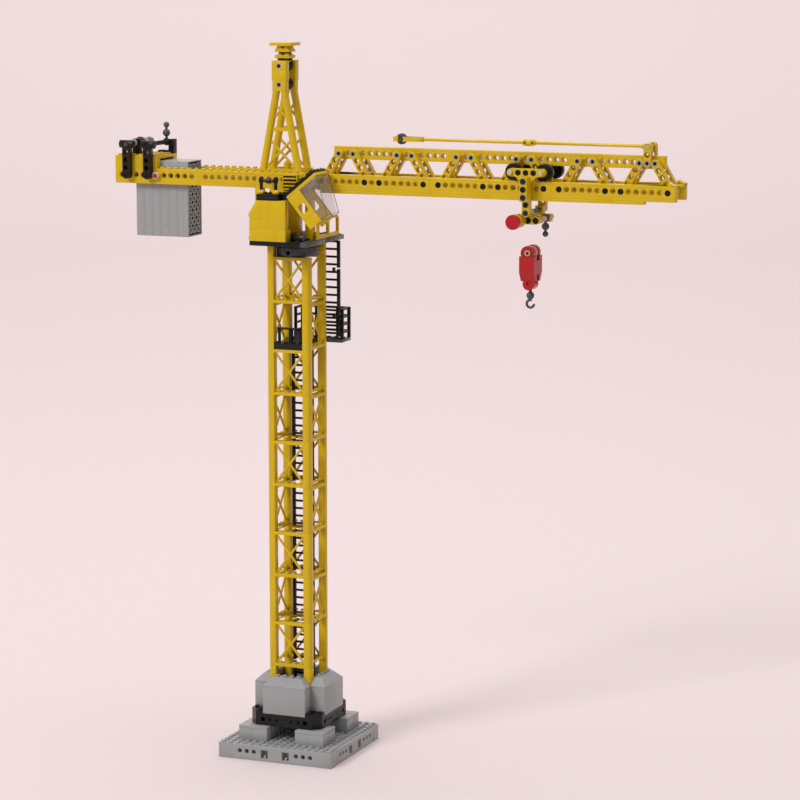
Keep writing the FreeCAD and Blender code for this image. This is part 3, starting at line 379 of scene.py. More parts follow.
class Shapes:
    """Collects small solids, in millimetres, into one mesh."""

    def __init__(self):
        self.work = bmesh.new()

    def add(self, part, matrix=None):
        if matrix is not None:
            bmesh.ops.transform(part, matrix=matrix, verts=part.verts)
        mesh = bpy.data.meshes.new("part")
        part.to_mesh(mesh)
        part.free()
        self.work.from_mesh(mesh)
        bpy.data.meshes.remove(mesh)

    def box(self, x, y, z, edge=EDGE, matrix=None):
        """A box between (low, high) pairs with eased edges."""
        part = bmesh.new()
        bmesh.ops.create_cube(part, size=1)
        size = Vector((x[1] - x[0], y[1] - y[0], z[1] - z[0]))
        centre = Vector((x[0] + x[1], y[0] + y[1], z[0] + z[1])) / 2
        for vertex in part.verts:
            vertex.co = centre + Vector(a * b for a, b in zip(vertex.co, size))
        if edge:
            ease(part, part.edges[:], min(edge, min(size) * 0.3))
        self.add(part, matrix)

    def lathe(self, profile, matrix=None, steps=28):
        """A closed solid turned about Z from (radius, height) points, from axis to axis."""
        part = bmesh.new()
        rings = []
        for radius, height in profile:
            if radius < 1e-6:
                rings.append([part.verts.new((0, 0, height))])
            else:
                rings.append([part.verts.new((radius * math.cos(step * math.tau / steps),
                                              radius * math.sin(step * math.tau / steps), height))
                              for step in range(steps)])
        for lower, upper in zip(rings, rings[1:]):
            for step in range(steps):
                ahead = (step + 1) % steps
                if len(lower) == 1:
                    part.faces.new((lower[0], upper[ahead], upper[step]))
                elif len(upper) == 1:
                    part.faces.new((lower[step], lower[ahead], upper[0]))
                else:
                    part.faces.new((lower[step], lower[ahead], upper[ahead], upper[step]))
        bmesh.ops.recalc_face_normals(part, faces=part.faces)
        self.add(part, matrix)

    def cylinder(self, axis, radius, span, at, edge=0.15, steps=28):
        """A round bar along an axis with eased ends."""
        self.lathe(bar_profile(radius, *span, edge), along(axis, at), steps)

    def prism(self, axis, points, span, edge=EDGE):
        """A polygon pushed along an axis; points are the other two coordinates."""
        part = bmesh.new()
        low = [part.verts.new((x, y, span[0])) for x, y in points]
        high = [part.verts.new((x, y, span[1])) for x, y in points]
        part.faces.new(low[::-1])
        part.faces.new(high)
        for step in range(len(points)):
            ahead = (step + 1) % len(points)
            part.faces.new((low[step], low[ahead], high[ahead], high[step]))
        bmesh.ops.transform(part, matrix=TURN[axis], verts=part.verts)
        bmesh.ops.recalc_face_normals(part, faces=part.faces)
        ease(part, sharp_edges(part, 30), edge)
        self.add(part)

    def stud(self, x, y, z, matrix=None):
        """One stud standing on height z."""
        foot, top = z - 0.1, z + STUD_HEIGHT
        profile = [(0, foot), (STUD_RADIUS, foot), (STUD_RADIUS, top - STUD_EDGE),
                   (STUD_RADIUS - STUD_EDGE, top), (0, top)]
        spot = Matrix.Translation((x, y, 0))
        self.lathe(profile, spot if matrix is None else matrix @ spot, 20)

    def studs(self, xs, ys, z, skip=None, matrix=None):
        for x in xs:
            for y in ys:
                if skip is None or not skip(x, y):
                    self.stud(x, y, z, matrix)

    def ball(self, radius, x, y, z):
        part = bmesh.new()
        bmesh.ops.create_uvsphere(part, u_segments=28, v_segments=16, radius=radius)
        self.add(part, Matrix.Translation((x, y, z)))

    def rod(self, start, end, radius, steps=18):
        """A round rod between two points."""
        run = Vector(end) - Vector(start)
        turn = run.to_track_quat("Z", "Y").to_matrix().to_4x4()
        self.lathe(bar_profile(radius, 0, run.length, min(0.15, radius / 3)),
                   Matrix.Translation(start) @ turn, steps)

    def panel(self, axis, outer, inner, span, edge=EDGE):
        """A flat panel with an opening; both outlines have the same number of points."""
        part = bmesh.new()
        loops = [[part.verts.new((x, y, height)) for x, y in points]
                 for height in span for points in (outer, inner)]
        count = len(outer)
        for step in range(count):
            ahead = (step + 1) % count
            for near, far in ((0, 1), (1, 3), (3, 2), (2, 0)):
                part.faces.new((loops[near][step], loops[near][ahead],
                                loops[far][ahead], loops[far][step]))
        bmesh.ops.transform(part, matrix=TURN[axis], verts=part.verts)
        bmesh.ops.recalc_face_normals(part, faces=part.faces)
        ease(part, sharp_edges(part, 40), edge)
        self.add(part)

    def drilled_bar(self, holes, low, high, depth, pad, round_ends=False, matrix=None):
        """A bar along +X with counterbored holes a pitch apart. The first hole is at the
        origin, and the bar is depth thick along +Y and runs pad past its end holes."""
        part = bmesh.new()
        for index in range(holes):
            first, last = index == 0, index == holes - 1
            left, right = (pad if first else PITCH / 2), (pad if last else PITCH / 2)
            angles = {round(step * math.tau / 24, 5) for step in range(24)}
            for corner in ((right, high), (-left, high), (-left, low), (right, low)):
                angles.add(round(math.atan2(corner[1], corner[0]) % math.tau, 5))
            angles = sorted(angles)
            rims = {"outline": [], "recess": [], "bore": []}
            for angle in angles:
                across, up = math.cos(angle), math.sin(angle)
                reach = min((right if across > 0 else left) / max(abs(across), 1e-9),
                            (high if up > 0 else -low) / max(abs(up), 1e-9))
                if round_ends and ((first and across < 0) or (last and across > 0)):
                    reach = high
                for rim, radius in (("outline", reach), ("recess", RECESS_RADIUS),
                                    ("bore", HOLE_RADIUS)):
                    rims[rim].append((index * PITCH + across * radius, up * radius))
            floor = depth - RECESS_DEPTH
            layers = [("outline", 0), ("recess", 0), ("recess", RECESS_DEPTH), ("bore", RECESS_DEPTH),
                      ("bore", floor), ("recess", floor), ("recess", depth), ("outline", depth)]
            loops = [[part.verts.new((x, y, z)) for x, z in rims[rim]] for rim, y in layers]
            count = len(angles)
            for step in range(count):
                ahead = (step + 1) % count
                for near, far in zip(loops, loops[1:]):
                    part.faces.new((near[step], near[ahead], far[ahead], far[step]))
                # the outside is closed, but not where the next cell of the bar begins
                here, there = rims["outline"][step][0], rims["outline"][ahead][0]
                joins = [index * PITCH + side * PITCH / 2
                         for side, at_end in ((1, last), (-1, first)) if not at_end]
                if not any(abs(here - join) < 1e-3 and abs(there - join) < 1e-3 for join in joins):
                    part.faces.new((loops[-1][step], loops[-1][ahead],
                                    loops[0][ahead], loops[0][step]))
        bmesh.ops.remove_doubles(part, verts=part.verts, dist=1e-3)
        bmesh.ops.recalc_face_normals(part, faces=part.faces)
        rims = [line for line in sharp_edges(part, 50) if line.is_manifold
                and all(vertex.co.y < 0.01 or vertex.co.y > depth - 0.01 for vertex in line.verts)]
        ease(part, rims, EDGE)
        self.add(part, matrix)

    def mesh(self, name, matrix=None):
        if matrix is not None:
            bmesh.ops.transform(self.work, matrix=matrix, verts=self.work.verts)
        bmesh.ops.scale(self.work, vec=(MM, MM, MM), verts=self.work.verts)
        mesh = bpy.data.meshes.new(name)
        self.work.to_mesh(mesh)
        self.work.free()
        return mesh

    def piece(self, name, body, slot, replaced=(), matrix=None):
        return finish_piece(name, self.mesh(name, matrix), body, slot, replaced)


def bar_profile(radius, low, high, edge):
    """Profile of a round bar with eased ends, for a lathe."""
    return [(0, low), (radius - edge, low), (radius, low + edge),
            (radius, high - edge), (radius - edge, high), (0, high)]


def along(axis, at):
    """Matrix that lays a Z-turned solid along an axis, at the two other coordinates."""
    if axis == "z":
        return Matrix.Translation((at[0], at[1], 0))
    if axis == "y":
        return Matrix.Translation((at[0], 0, at[1])) @ Matrix.Rotation(math.radians(-90), 4, "X")
    return Matrix.Translation((0, at[0], at[1])) @ Matrix.Rotation(math.radians(90), 4, "Y")


# ---- studio --------------------------------------------------------------------------------

SWEEP_FLOOR_END = 4.8
SWEEP_RADIUS = 3.0


def pale_paper():
    """Backdrop paper, a little paler towards the back, where less of the light reaches it."""
    pale = bpy.data.materials.new("pale_paper")
    pale.use_nodes = True
    tree = pale.node_tree
    paper = tree.nodes["Principled BSDF"]
    paper.inputs["Roughness"].default_value = 0.95
    paper.inputs["Specular IOR Level"].default_value = 0.1
    place = tree.nodes.new("ShaderNodeTexCoord")
    axes = tree.nodes.new("ShaderNodeSeparateXYZ")
    depth = tree.nodes.new("ShaderNodeMapRange")
    depth.inputs["From Max"].default_value = SWEEP_FLOOR_END + SWEEP_RADIUS
    shade = tree.nodes.new("ShaderNodeValToRGB")
    shade.color_ramp.elements[0].color = (0.69, 0.599, 0.599, 1)
    shade.color_ramp.elements[1].color = (1.0, 0.875, 0.875, 1)
    tree.links.new(place.outputs["Object"], axes.inputs["Vector"])
    tree.links.new(axes.outputs["Y"], depth.inputs["Value"])
    tree.links.new(depth.outputs["Result"], shade.inputs["Fac"])
    tree.links.new(shade.outputs["Color"], paper.inputs["Base Color"])
    return pale


def make_sweep():
    """Floor that curves up into a wall behind the crane, in metres."""
    profile = [(-12.0, 0.0)]
    for step in range(17):
        angle = math.radians(90 * step / 16)
        profile.append((SWEEP_FLOOR_END + SWEEP_RADIUS * math.sin(angle),
                        SWEEP_RADIUS - SWEEP_RADIUS * math.cos(angle)))
    profile.append((SWEEP_FLOOR_END + SWEEP_RADIUS, 12.0))
    sweep = bmesh.new()
    left, right = [[sweep.verts.new((side, y, z)) for y, z in profile] for side in (-14.0, 14.0)]
    for step in range(len(profile) - 1):
        face = sweep.faces.new((left[step], right[step], right[step + 1], left[step + 1]))
        face.smooth = True
    mesh = bpy.data.meshes.new("sweep")
    sweep.to_mesh(mesh)
    sweep.free()
    mesh.materials.append(pale_paper())
    backdrop = bpy.data.objects.new("sweep", mesh)
    backdrop.rotation_euler = (0, 0, 0.38)
    bpy.context.scene.collection.objects.link(backdrop)


def make_lights():
    """Soft light from the upper left front, and a lamp that evens out the wall."""
    scene = bpy.context.scene
    scene.view_settings.view_transform = "Standard"
    world = bpy.data.worlds.new("studio")
    world.use_nodes = True
    world.node_tree.nodes["Background"].inputs["Color"].default_value = (1.0, 0.95, 0.95, 1)
    world.node_tree.nodes["Background"].inputs["Strength"].default_value = 0.38
    scene.world = world
    crane, wall = (0, 0, 0.35), (-2.8, 7.0, 1.8)
    for name, place, size, watts, aim in (
        ("key", (-1.6, -3.4, 3.2), 1.4, 116, crane),
        ("fill", (3.4, -2.0, 1.6), 2.4, 8, crane),
        ("top", (0.3, 0.2, 3.8), 2.4, 70, crane),
        ("backdrop", (-1.2, 3.0, 6.4), 5.0, 175, wall),
    ):
        light = bpy.data.lights.new(name, "AREA")
        light.size = size
        light.energy = watts
        lamp = bpy.data.objects.new(name, light)
        lamp.location = place
        lamp.rotation_euler = (Vector(aim) - Vector(place)).to_track_quat("-Z", "Y").to_euler()
        scene.collection.objects.link(lamp)


def make_camera():
    """Long lens a little above the jib, turned towards the cab side."""
    lens = bpy.data.cameras.new("camera")
    lens.sensor_width = 36
    lens.lens = 137.7
    lens.clip_end = 60
    camera = bpy.data.objects.new("camera", lens)
    camera.location = (1.27492, -2.87630, 0.88094)
    camera.rotation_euler = (math.pi / 2 - 0.16016, 0, 0.38335)
    bpy.context.scene.collection.objects.link(camera)
    bpy.context.scene.camera = camera


make_sweep()
make_lights()
make_camera()


def row(start, count, step=PITCH):
    return [start + step * index for index in range(count)]


# ---- base and pedestal ---------------------------------------------------------------------

mould("base_plate", seams=[(axis, place, {}) for axis in "xy" for place in (-48, 48)])
studs = Shapes()
studs.studs(row(-60, 16), row(-60, 16), GROUND_PLATE_TOP,
            skip=lambda x, y: 16 < abs(x) < 48 and 16 < abs(y) < 48)
studs.piece("base_studs", "tower", "light_grey_plastic")
tabs = Shapes()
for spin in QUARTER_TURNS:
    for x in (-12, 12):
        tabs.box((x - 1.2, x + 1.2), (-62.6, -56), (3.2, 6.0), matrix=spin)
tabs.piece("base_socket_tabs", "tower", "light_grey_plastic")

mould("corner_blocks",
      seams=[(axis, place, {}) for axis in "xy" for place in (-32, 32)] + [("z", 28.8, {})])

mould("chassis_frame", edge=0.5)
corners = Shapes()
for spin in QUARTER_TURNS:
    for x, y in ((28, -36), (36, -28), (28, -28)):
        corners.stud(x, y, CHASSIS_TOP, spin)
corners.piece("chassis_studs", "tower", "black_plastic")

# the right wall is a stack of plates; the other three are panels
walls = Shapes()
for low, high in ((-40, -24.02), (24.02, 40)):
    walls.box((-24, 24), (low, high), (WALL_FOOT, 73.6))
walls.box((-40, -24.02), (-24, 24), (WALL_FOOT, 73.6))
for step in range(9):
    walls.box((24.02, 40), (-24, 24), (WALL_FOOT + PLATE * step, CHASSIS_TOP + PLATE * step), 0.12)
for x, y in (((-24, 24), (-24, -16)), ((-24, 24), (16, 24)),
             ((-24, -16), (-16, 16)), ((16, 24), (-16, 16))):
    walls.box(x, y, (WALL_FOOT, 73.5))
walls.piece("pedestal_bricks", "tower", "light_grey_plastic", ("pedestal_walls",))
mould("pedestal_slopes", seams=[(axis, place, {across: side}) for axis, across in ("xy", "yx")
                                for side in ((-40, -24), (24, 40)) for place in (-8, 8)])
studs = Shapes()
for spin in QUARTER_TURNS:
    studs.studs(row(-12, 4), [-28], SLOPE_TOP, matrix=spin)
studs.piece("pedestal_studs", "tower", "light_grey_plastic")


# ---- tower ---------------------------------------------------------------------------------

mould("tower_posts")
for level in range(SECTIONS):
    mould(f"tower_section_{level + 1}")
studs = Shapes()
for level in range(SECTIONS):
    top = FIRST_SECTION_TOP + SECTION_HEIGHT * level + 3.3
    for y in (-20, 20):
        studs.studs(row(-12, 4), [y], top)
    for x in (-20, 20):
        studs.studs([x], row(-12, 4), top)
studs.piece("tower_studs", "tower", "yellow_plastic")
mould("inner_platform")
mould("outer_platform")
mould("outer_railing", edge=0.4)
mould("ladders", edge=0.3)
studs = Shapes()
studs.studs(row(-4, 6), row(28, 2), PLATFORM_TOP)
studs.studs(row(-12, 4), row(-20, 6), PLATFORM_TOP,
            skip=lambda x, y: -20 < y < -10 or abs(y) < 14 and x < 12)
studs.piece("platform_studs", "tower", "black_plastic")


# ---- slewing ring, deck and house ----------------------------------------------------------

mould("turntable_base", edge=0.3)
mould("turntable_top", edge=0.3)
deck = Shapes()
deck.box((-28, 28), (-56, 40), DECK)
deck.box((-36, -28.05), (-36, 40), DECK)
deck.studs(row(-24, 7), row(-36, 10), DECK[1], skip=lambda x, y: x > 10 and y < -30)
deck.studs([-32], row(-12, 4), DECK[1])
deck.stud(24, -52, DECK[1])
deck.piece("deck_main", "upper_works", "black_plastic", ("deck_plate",))
edge_beam = Shapes()
for start, end in ((-56, -8), (-8, 40)):
    edge_beam.box((28.05, 36), (start, end), DECK)
edge_beam.piece("deck_edge", "upper_works", "dark_grey_plastic")
edge_studs = Shapes()
edge_studs.studs([31.9], row(-52, 12), 543.2, skip=lambda x, y: -28 < y < 34)
edge_studs.piece("deck_edge_studs", "upper_works", "dark_grey_plastic")

# two fence panels, each with one well rounded top corner where they meet
railing = Shapes()
outer_z, inner_z, panel_x = (544, 566), (548.4, 563.2), (32, 35)
railing.panel("x", rounded((-24, 3), outer_z, (0.3, 6, 0.3, 0.3), 7),
              rounded((-21, 1.4), inner_z, (1.2, 3.6, 1.2, 1.2), 7), panel_x, 0.5)
railing.panel("x", rounded((3.1, 30), outer_z, (6, 0.3, 0.3, 0.3), 7),
              rounded((4.8, 27), inner_z, (3.6, 1.2, 1.2, 1.2), 7), panel_x, 0.5)
railing.piece("deck_railing_frames", "upper_works", "yellow_plastic", ("deck_railing",))

mould("operator_station", edge=0.5)
mould("control_lever", edge=0.3)

mould("house_wall", seams=[
    ("z", 555.8, {}),
    ("x", -4.9, {"z": (556, 586)}),
    ("z", 565.4, {"x": (-28, -4), "z": (556, 586)}),
    ("x", -13.4, {"z": (565.5, 586)}),
    ("x", 3.1, {"z": (544, 555.7)}),
])
nubs = Shapes()
for z in (570, 547):
    nubs.box((-28.9, -27), (-55.4, -52.6), (z - 1.4, z + 1.4), 0.4)
nubs.piece("house_clips", "upper_works", "black_plastic")

mould("house_roof", seams=[("z", 588.8, {})])
studs = Shapes()
for x, y in ((-16, -44), (-8, -52), (-8, -44), (0, -44), (6, -44), (6, -36)):
    studs.stud(x, y, ROOF_TOP)
studs.piece("roof_studs", "upper_works", "black_plastic")
vent_y, vent_pipe = -52, 605.6
cones = Shapes()
for x in (-16, 0):
    cones.lathe([(0, ROOF_TOP), (2.6, ROOF_TOP), (2.6, 592.8), (4.0, 593.2), (4.0, 594.6),
                 (2.5, 596.4), (0, 596.4)], along("z", (x, vent_y)))
cones.box((-12.4, -3.6), (-51.4, -50), (597.6, 605.8))
cones.piece("roof_lamps", "upper_works", "yellow_plastic")
stacks = Shapes()
for x in (-16, 0):
    stacks.cylinder("z", 1.7, (596.3, 609.5), (x, vent_y), 0.3)
    stacks.cylinder("z", 2.5, (603.4, 608.0), (x, vent_y), 0.3)
stacks.cylinder("x", 1.5, (-16, 0), (vent_y, vent_pipe), 0.2)
stacks.cylinder("x", 2.6, (-10.5, -5.5), (vent_y, vent_pipe), 0.4)
stacks.piece("roof_stacks", "upper_works", "black_plastic", ("roof_vents",))
mould("house_columns")

grille = Shapes()
frame_y = (-26.2, -24.6)
for z in ((594.4, 596.0), (608.6, 610.4)):
    grille.box((-4.4, 12.4), frame_y, z)
for step in range(3):
    rise = 598.6 + 3.7 * step
    tilt = Matrix.Translation((0, -25.6, rise)) @ Matrix.Rotation(math.radians(24), 4, "X")
    grille.box((-3.8, 11.8), (-1.3, 1.3), (-0.4, 0.4), 0.1, tilt)
for x in (-4.4, 11.2):
    grille.box((x, x + 1.2), frame_y, (595.9, 608.7))
grille.piece("grille", "upper_works", "yellow_plastic")
# painted shade: a black sheet behind the slats darkens the gaps between them
grille_shade_sheet = Shapes()
grille_shade_sheet.box((-3.6, 11.6), (-24.5, -24.1), (595.6, 609.0), 0)
grille_shade_sheet.piece("grille_painted_shade", "upper_works", "black_plastic")


# ---- cab -----------------------------------------------------------------------------------

# drawn from the hinge axis, with the roof level, and then tipped up to its pose
CAB = Matrix.Translation((13.2, -56, 590.1)) @ Matrix.Rotation(math.radians(-39.5), 4, "Y")
HINGE_FINGERS = ((0, 10.2), (15, 16.6), (21.4, CAB_WIDTH))
shell = Shapes()
for near in (0, 28.4):
    side = (near, near + PLATE)
    shell.box((0, 16), side, (-41.6, -32))
    shell.panel("y", rounded((0, 16), (-32, -12.8), 0.05),
                rounded((3.3, 11.7), (-25.4, -15.2), 2.6), side)
    shell.box((0, 16), side, (-12.8, -3.25))
shell.box((3.65, 40), (0, CAB_WIDTH), (-PLATE, 0))
for finger in HINGE_FINGERS:
    shell.box((0, 3.7), finger, (-PLATE, 0))
shell.cylinder("y", 1.6, (4, 27.6), (0, -1))
shell.piece("cab_shell_panels", "cab", "yellow_plastic", ("cab_shell",), CAB)
roof = Shapes()
roof.box((3.65, 40), (0, CAB_WIDTH), (0, PLATE))
for finger in HINGE_FINGERS:
    roof.box((1.2, 3.7), finger, (0.9, PLATE), 0.1)
roof.studs(row(8, 4) + [36.4], row(3.8, 4), PLATE)
roof.piece("cab_roof_plate", "cab", "black_plastic", ("cab_roof",), CAB)
mould("cab_windscreen", edge=0.35)
# painted shade: dark rods along the edges of the clear plastic, where light bent through it makes
# them look dark
glass_edge_shade = Shapes()
toe, heel, brow, nape = (24, -41.3), (16.3, -41.3), (39.7, -3.6), (16.3, -3.6)
for y in (0.3, 31.3):
    for start, end in ((toe, brow), (heel, toe), (heel, nape)):
        glass_edge_shade.rod((start[0], y, start[1]), (end[0], y, end[1]), 0.28, 10)
for x, z in (toe, heel, brow):
    glass_edge_shade.rod((x, 0.3, z), (x, 31.3, z), 0.28, 10)
glass_edge_shade.piece("windscreen_edge_shade", "cab", "dark_grey_plastic", (), CAB)
lining = Shapes()
for y in (10.0, 15.8, 21.6):
    lining.box((8, 30), (y - 1.2, y + 1.2), (-5.0, -3.3), 0.4)
lining.piece("cab_ceiling_ribs", "cab", "light_grey_plastic", (), CAB)
mould("cab_hinge", edge=0.3)


# ---- jib and counter-jib -------------------------------------------------------------------

def brick_beam(shapes, x, y, z, studs_long):
    """Studded beam with its lower left front corner at (x, y, z)."""
    shapes.drilled_bar(studs_long - 1, -AXIS_IN_BEAM, 3.8, PITCH, PITCH,
                       matrix=Matrix.Translation((x + PITCH, y, z + AXIS_IN_BEAM)))


def arm(shapes, x, y, z, holes, lean):
    """Round-ended arm whose first hole is at (x, z), leaning some degrees down from +X."""
    turn = Matrix.Translation((x, y, z)) @ Matrix.Rotation(math.radians(lean), 4, "Y")
    shapes.drilled_bar(holes, -ARM_HALF, ARM_HALF, 2 * ARM_HALF, ARM_HALF,
                       round_ends=True, matrix=turn)


beams = Shapes()
for y in (-24, 16):
    brick_beam(beams, -196, y, BEAM_FOOT, 12)
    brick_beam(beams, -100, y, BEAM_FOOT, 16)
beams.piece("counter_jib_bricks", "upper_works", "yellow_plastic", ("counter_jib_beams",))
beams = Shapes()
for y in (-20, 12):
    for step in range(3):
        brick_beam(beams, 28 + 128 * step, y, BEAM_FOOT, 16)
beams.piece("jib_bricks", "upper_works", "yellow_plastic", ("jib_beams",))
beams = Shapes()
for start, studs_long in ((44, 16), (172, 16), (300, 12)):
    brick_beam(beams, start, -4, 626.1, studs_long)
plate_ends = [44] + row(76, 6, 64)
for start, end in zip(plate_ends, plate_ends[1:]):
    beams.box((start, end), (-4, 4), (635.7, 638.9))
beams.piece("upper_chord_bricks", "upper_works", "yellow_plastic", ("upper_chord",))

plate_seams = [("x", place, {"x": (-197, 29)}) for place in (-148, -100, -36)]
plate_seams += [("x", place, {"x": (28, 413)}) for place in row(92, 5, 64)]
mould("beam_plates", seams=plate_seams)
studs = Shapes()
studs.studs(row(-144, 22), [-20, 20], PLATE_TOP)
studs.studs(row(-32, 6), [-4, 4], PLATE_TOP)
studs.studs(row(-192, 6), [-20, 20], COUNTER_TOP)
studs.studs(row(-192, 6), row(-12, 4), COUNTER_TOP, skip=lambda x, y: -186 < x < -174 and y < 0)
studs.piece("jib_studs", "upper_works", "yellow_plastic")

# each bay of the jib has a pair of arms that lean together, from the beams to the chord
BOTTOM = [36 + 64 * bay + side for bay in range(6) for side in (0, 48)]
TOP = [52 + 64 * bay + side for bay in range(6) for side in (0, 16)]
arms = Shapes()
for y in (-11.9, 4.1):
    for bottom, top in zip(BOTTOM, TOP):
        arm(arms, bottom, y, BEAM_AXIS, 5, -math.degrees(math.atan2(27.7, top - bottom)))
    arm(arms, LAST_CHORD_HOLE, y, CHORD_AXIS, 3, -90)
arms.piece("jib_arms", "upper_works", "yellow_plastic", ("jib_links",))


def facing_out(x, y, z, facing):
    """Matrix for a lathed solid whose outer end faces the front (1) or the back (-1)."""
    return Matrix.Translation((x, y, z)) @ Matrix.Rotation(math.radians(90 * facing), 4, "X")


def pin_end(ring, core, x, y, z, facing, cross=True):
    """End of a connector pin in a hole: a ring flush with the face and a cross-slotted core."""
    turn = facing_out(x, y, z, facing)
    ring.lathe([(1.9, -1.6), (2.95, -0.85), (2.95, -0.05), (2.75, 0.1), (2.05, 0.1),
                (1.9, -0.05), (1.9, -1.6)], turn, 24)
    core.lathe([(0, -1.7), (1.95, -1.7), (1.95, -0.7), (0, -0.7)], turn, 16)
    if cross:
        for wide, tall in ((1.5, 0.4), (0.4, 1.5)):
            core.box((-wide, wide), (-tall, tall), (-0.9, -0.15), 0.05, turn)


def button(ring, core, x, y, z, facing):
    """Pin end that stands proud of a face at y, with a dark socket in it."""
    turn = facing_out(x, y, z, facing)
    ring.lathe([(0, 0), (2.95, 0), (2.95, 0.75), (2.75, 0.9), (1.75, 0.9), (1.6, 0.5), (0, 0.5)],
               turn, 24)
    core.lathe([(0, 0.45), (1.6, 0.45), (1.6, 0.6), (0, 0.6)], turn, 20)


rings, cores, darks = Shapes(), Shapes(), Shapes()
for x in BOTTOM:
    for y, facing in ((-20, 1), (20, -1)):
        pin_end(darks, darks, x, y, BEAM_AXIS, facing, False)
    for span in ((-13.5, -12), (12, 13.5)):
        darks.cylinder("y", PIN_RADIUS, span, (x, BEAM_AXIS))
for x in TOP + [LAST_CHORD_HOLE]:
    for y, facing in ((-11.9, 1), (11.9, -1)):
        pin_end(rings, cores, x, y, CHORD_AXIS, facing)
        inner = sorted((y + facing * 1.6, y + facing * 8))
        rings.cylinder("y", PIN_RADIUS, inner, (x, CHORD_AXIS))
for x in BOTTOM:
    for span in ((-18.2, -10.4), (10.4, 18.2)):
        darks.cylinder("y", PIN_RADIUS, span, (x, BEAM_AXIS))
rings.piece("chord_pin_rings", "upper_works", "light_grey_plastic")
cores.piece("chord_pin_cores", "upper_works", "black_plastic", ("link_pins",))
darks.piece("beam_pins", "upper_works", "black_plastic")

mould("tie_bar", edge=0.3)
collar = Shapes()
for x in (250, 258):
    collar.cylinder("y", 3.0, (-3.4, 3.4), (x, TIE_AXIS), 0.3)
collar.piece("tie_bar_connector", "tie_bar", "yellow_plastic")
rings, cores = Shapes(), Shapes()
for y, facing in ((-11.9, 1), (11.9, -1)):
    pin_end(rings, cores, LAST_CHORD_HOLE, y - facing * 0.1, TIE_AXIS, facing)
for y, facing in ((-4, 1), (4, -1)):
    pin_end(cores, cores, 117, y, TIE_AXIS, facing)
for x in (250, 258):
    for wide, tall in ((1.5, 0.45), (0.45, 1.5)):
        cores.box((x - wide, x + wide), (-3.6, -3.2), (TIE_AXIS - tall, TIE_AXIS + tall), 0.05)
rings.piece("tie_bar_pin_rings", "tie_bar", "light_grey_plastic")
cores.piece("tie_bar_pin_cores", "tie_bar", "black_plastic")
mould("tie_sheave")

mould("winch_mount", seams=[("z", 620.8, {}), ("x", -164, {"z": (611, 620.7)})])
mould("winch_supports", edge=0.25)
upright = Shapes()
upright.rod((-156, 16, 640), (-156, 16, 654), 1.4)
upright.ball(4.0, -156, 16, 645.6)
upright.ball(3.1, -156, 16, 654)
upright.piece("winch_upright_hook", "upper_works", "dark_grey_plastic")
mould("winch_drum", edge=0.25)
bushes = Shapes()
for radius, start, end in ((3.85, -21.9, -12.1), (4.35, 4.7, 14)):
    bushes.lathe([(PIN_RADIUS, start), (radius, start), (radius, end), (PIN_RADIUS, end),
                  (PIN_RADIUS, start)], along("y", (WINCH_X, WINCH_AXIS)))
bushes.piece("winch_bushes", "winch_drum", "light_grey_plastic")
pins = Shapes()
for x in (WINCH_X, -156):
    pin_end(pins, pins, x, -32, BEAM_AXIS, 1, False)
    pin_end(pins, pins, x - 7.0, -24, BEAM_AXIS, 1, False)
pins.piece("winch_pins", "upper_works", "black_plastic")
bush = Shapes()
bush.cylinder("y", 3.9, (-28.2, -24.1), (-148, BEAM_AXIS), 0.4)
bush.piece("beam_bush", "upper_works", "tan_plastic")
axle = Shapes()
axle.cylinder("y", 2.2, (-30.2, -28.0), (-148, BEAM_AXIS), 0.3)
axle.piece("beam_axle_end", "upper_works", "red_plastic")

# counterweight: bricks on their sides, so the last one shows its hollow underside
weight = Shapes()
for step in range(6):
    left = -176 + BRICK * step
    right = min(left + BRICK, -121)
    courses = (540, 549.6, 618.8) if step % 2 else (540, 618.8)
    for course in zip(courses, courses[1:]):
        weight.box((left, right), (-16, 16), course, 0.3)
for y in ((-16, -14.7), (14.7, 16)):
    weight.box((-121.2, -116), y, (540, 618.8))
for z in (540.05, 617.55):
    weight.box((-121.2, -116.05), (-15, 15), (z, z + 1.2), 0.1)
for y in (-9.2, 0, 9.2):
    for z in row(546.6, 9, 8.2):
        weight.lathe([(2.5, -121.2), (3.9, -121.2), (3.9, -116.5), (2.5, -116.5), (2.5, -121.2)],
                     along("x", (y, z)), 20)
weight.piece("counterweight_bricks", "upper_works", "light_grey_plastic", ("counterweight",))
# painted shade: a black sheet at the bottom of the last brick's hollow darkens the recess
hollow = Shapes()
hollow.box((-121.15, -120.6), (-14.6, 14.6), (541.3, 617.5), 0)
hollow.piece("counterweight_hollow_shade", "upper_works", "black_plastic")


# ---- crane head ----------------------------------------------------------------------------

mould("head_frames", edge=0.3)
post = Shapes()
post.cylinder("z", 4.0, (PLATE_TOP, 620.6), (-8, -4), 0.3)
post.cylinder("z", STUD_RADIUS, (620.5, 622.3), (-8, -4), 0.2)
post.piece("head_round_brick", "upper_works", "yellow_plastic")
mould("head_blocks", seams=[("z", 714.2, {})])
rings, cores = Shapes(), Shapes()
for z in sorted(SHEAVE_AXES.values()):
    for y, facing in ((-16, 1), (16, -1)):
        pin_end(rings, cores, HEAD_X, y, z, facing)
rings.piece("head_pin_rings", "upper_works", "light_grey_plastic")
cores.piece("head_pin_cores", "upper_works", "black_plastic")
for name in SHEAVE_AXES:
    mould(f"head_sheave_{name}", slot="black_plastic")
for name, level in SHEAVE_AXES.items():
    rim = Shapes()
    for facing in (-1, 1):
        rim.lathe([(4.3, 6.8), (5.6, 6.8), (5.6, 7.4), (4.3, 7.4), (4.3, 6.8)],
                  facing_out(HEAD_X, 0, level, facing))
    rim.piece(f"head_sheave_rim_{name}", f"head_sheave_{name}", "dark_grey_plastic")

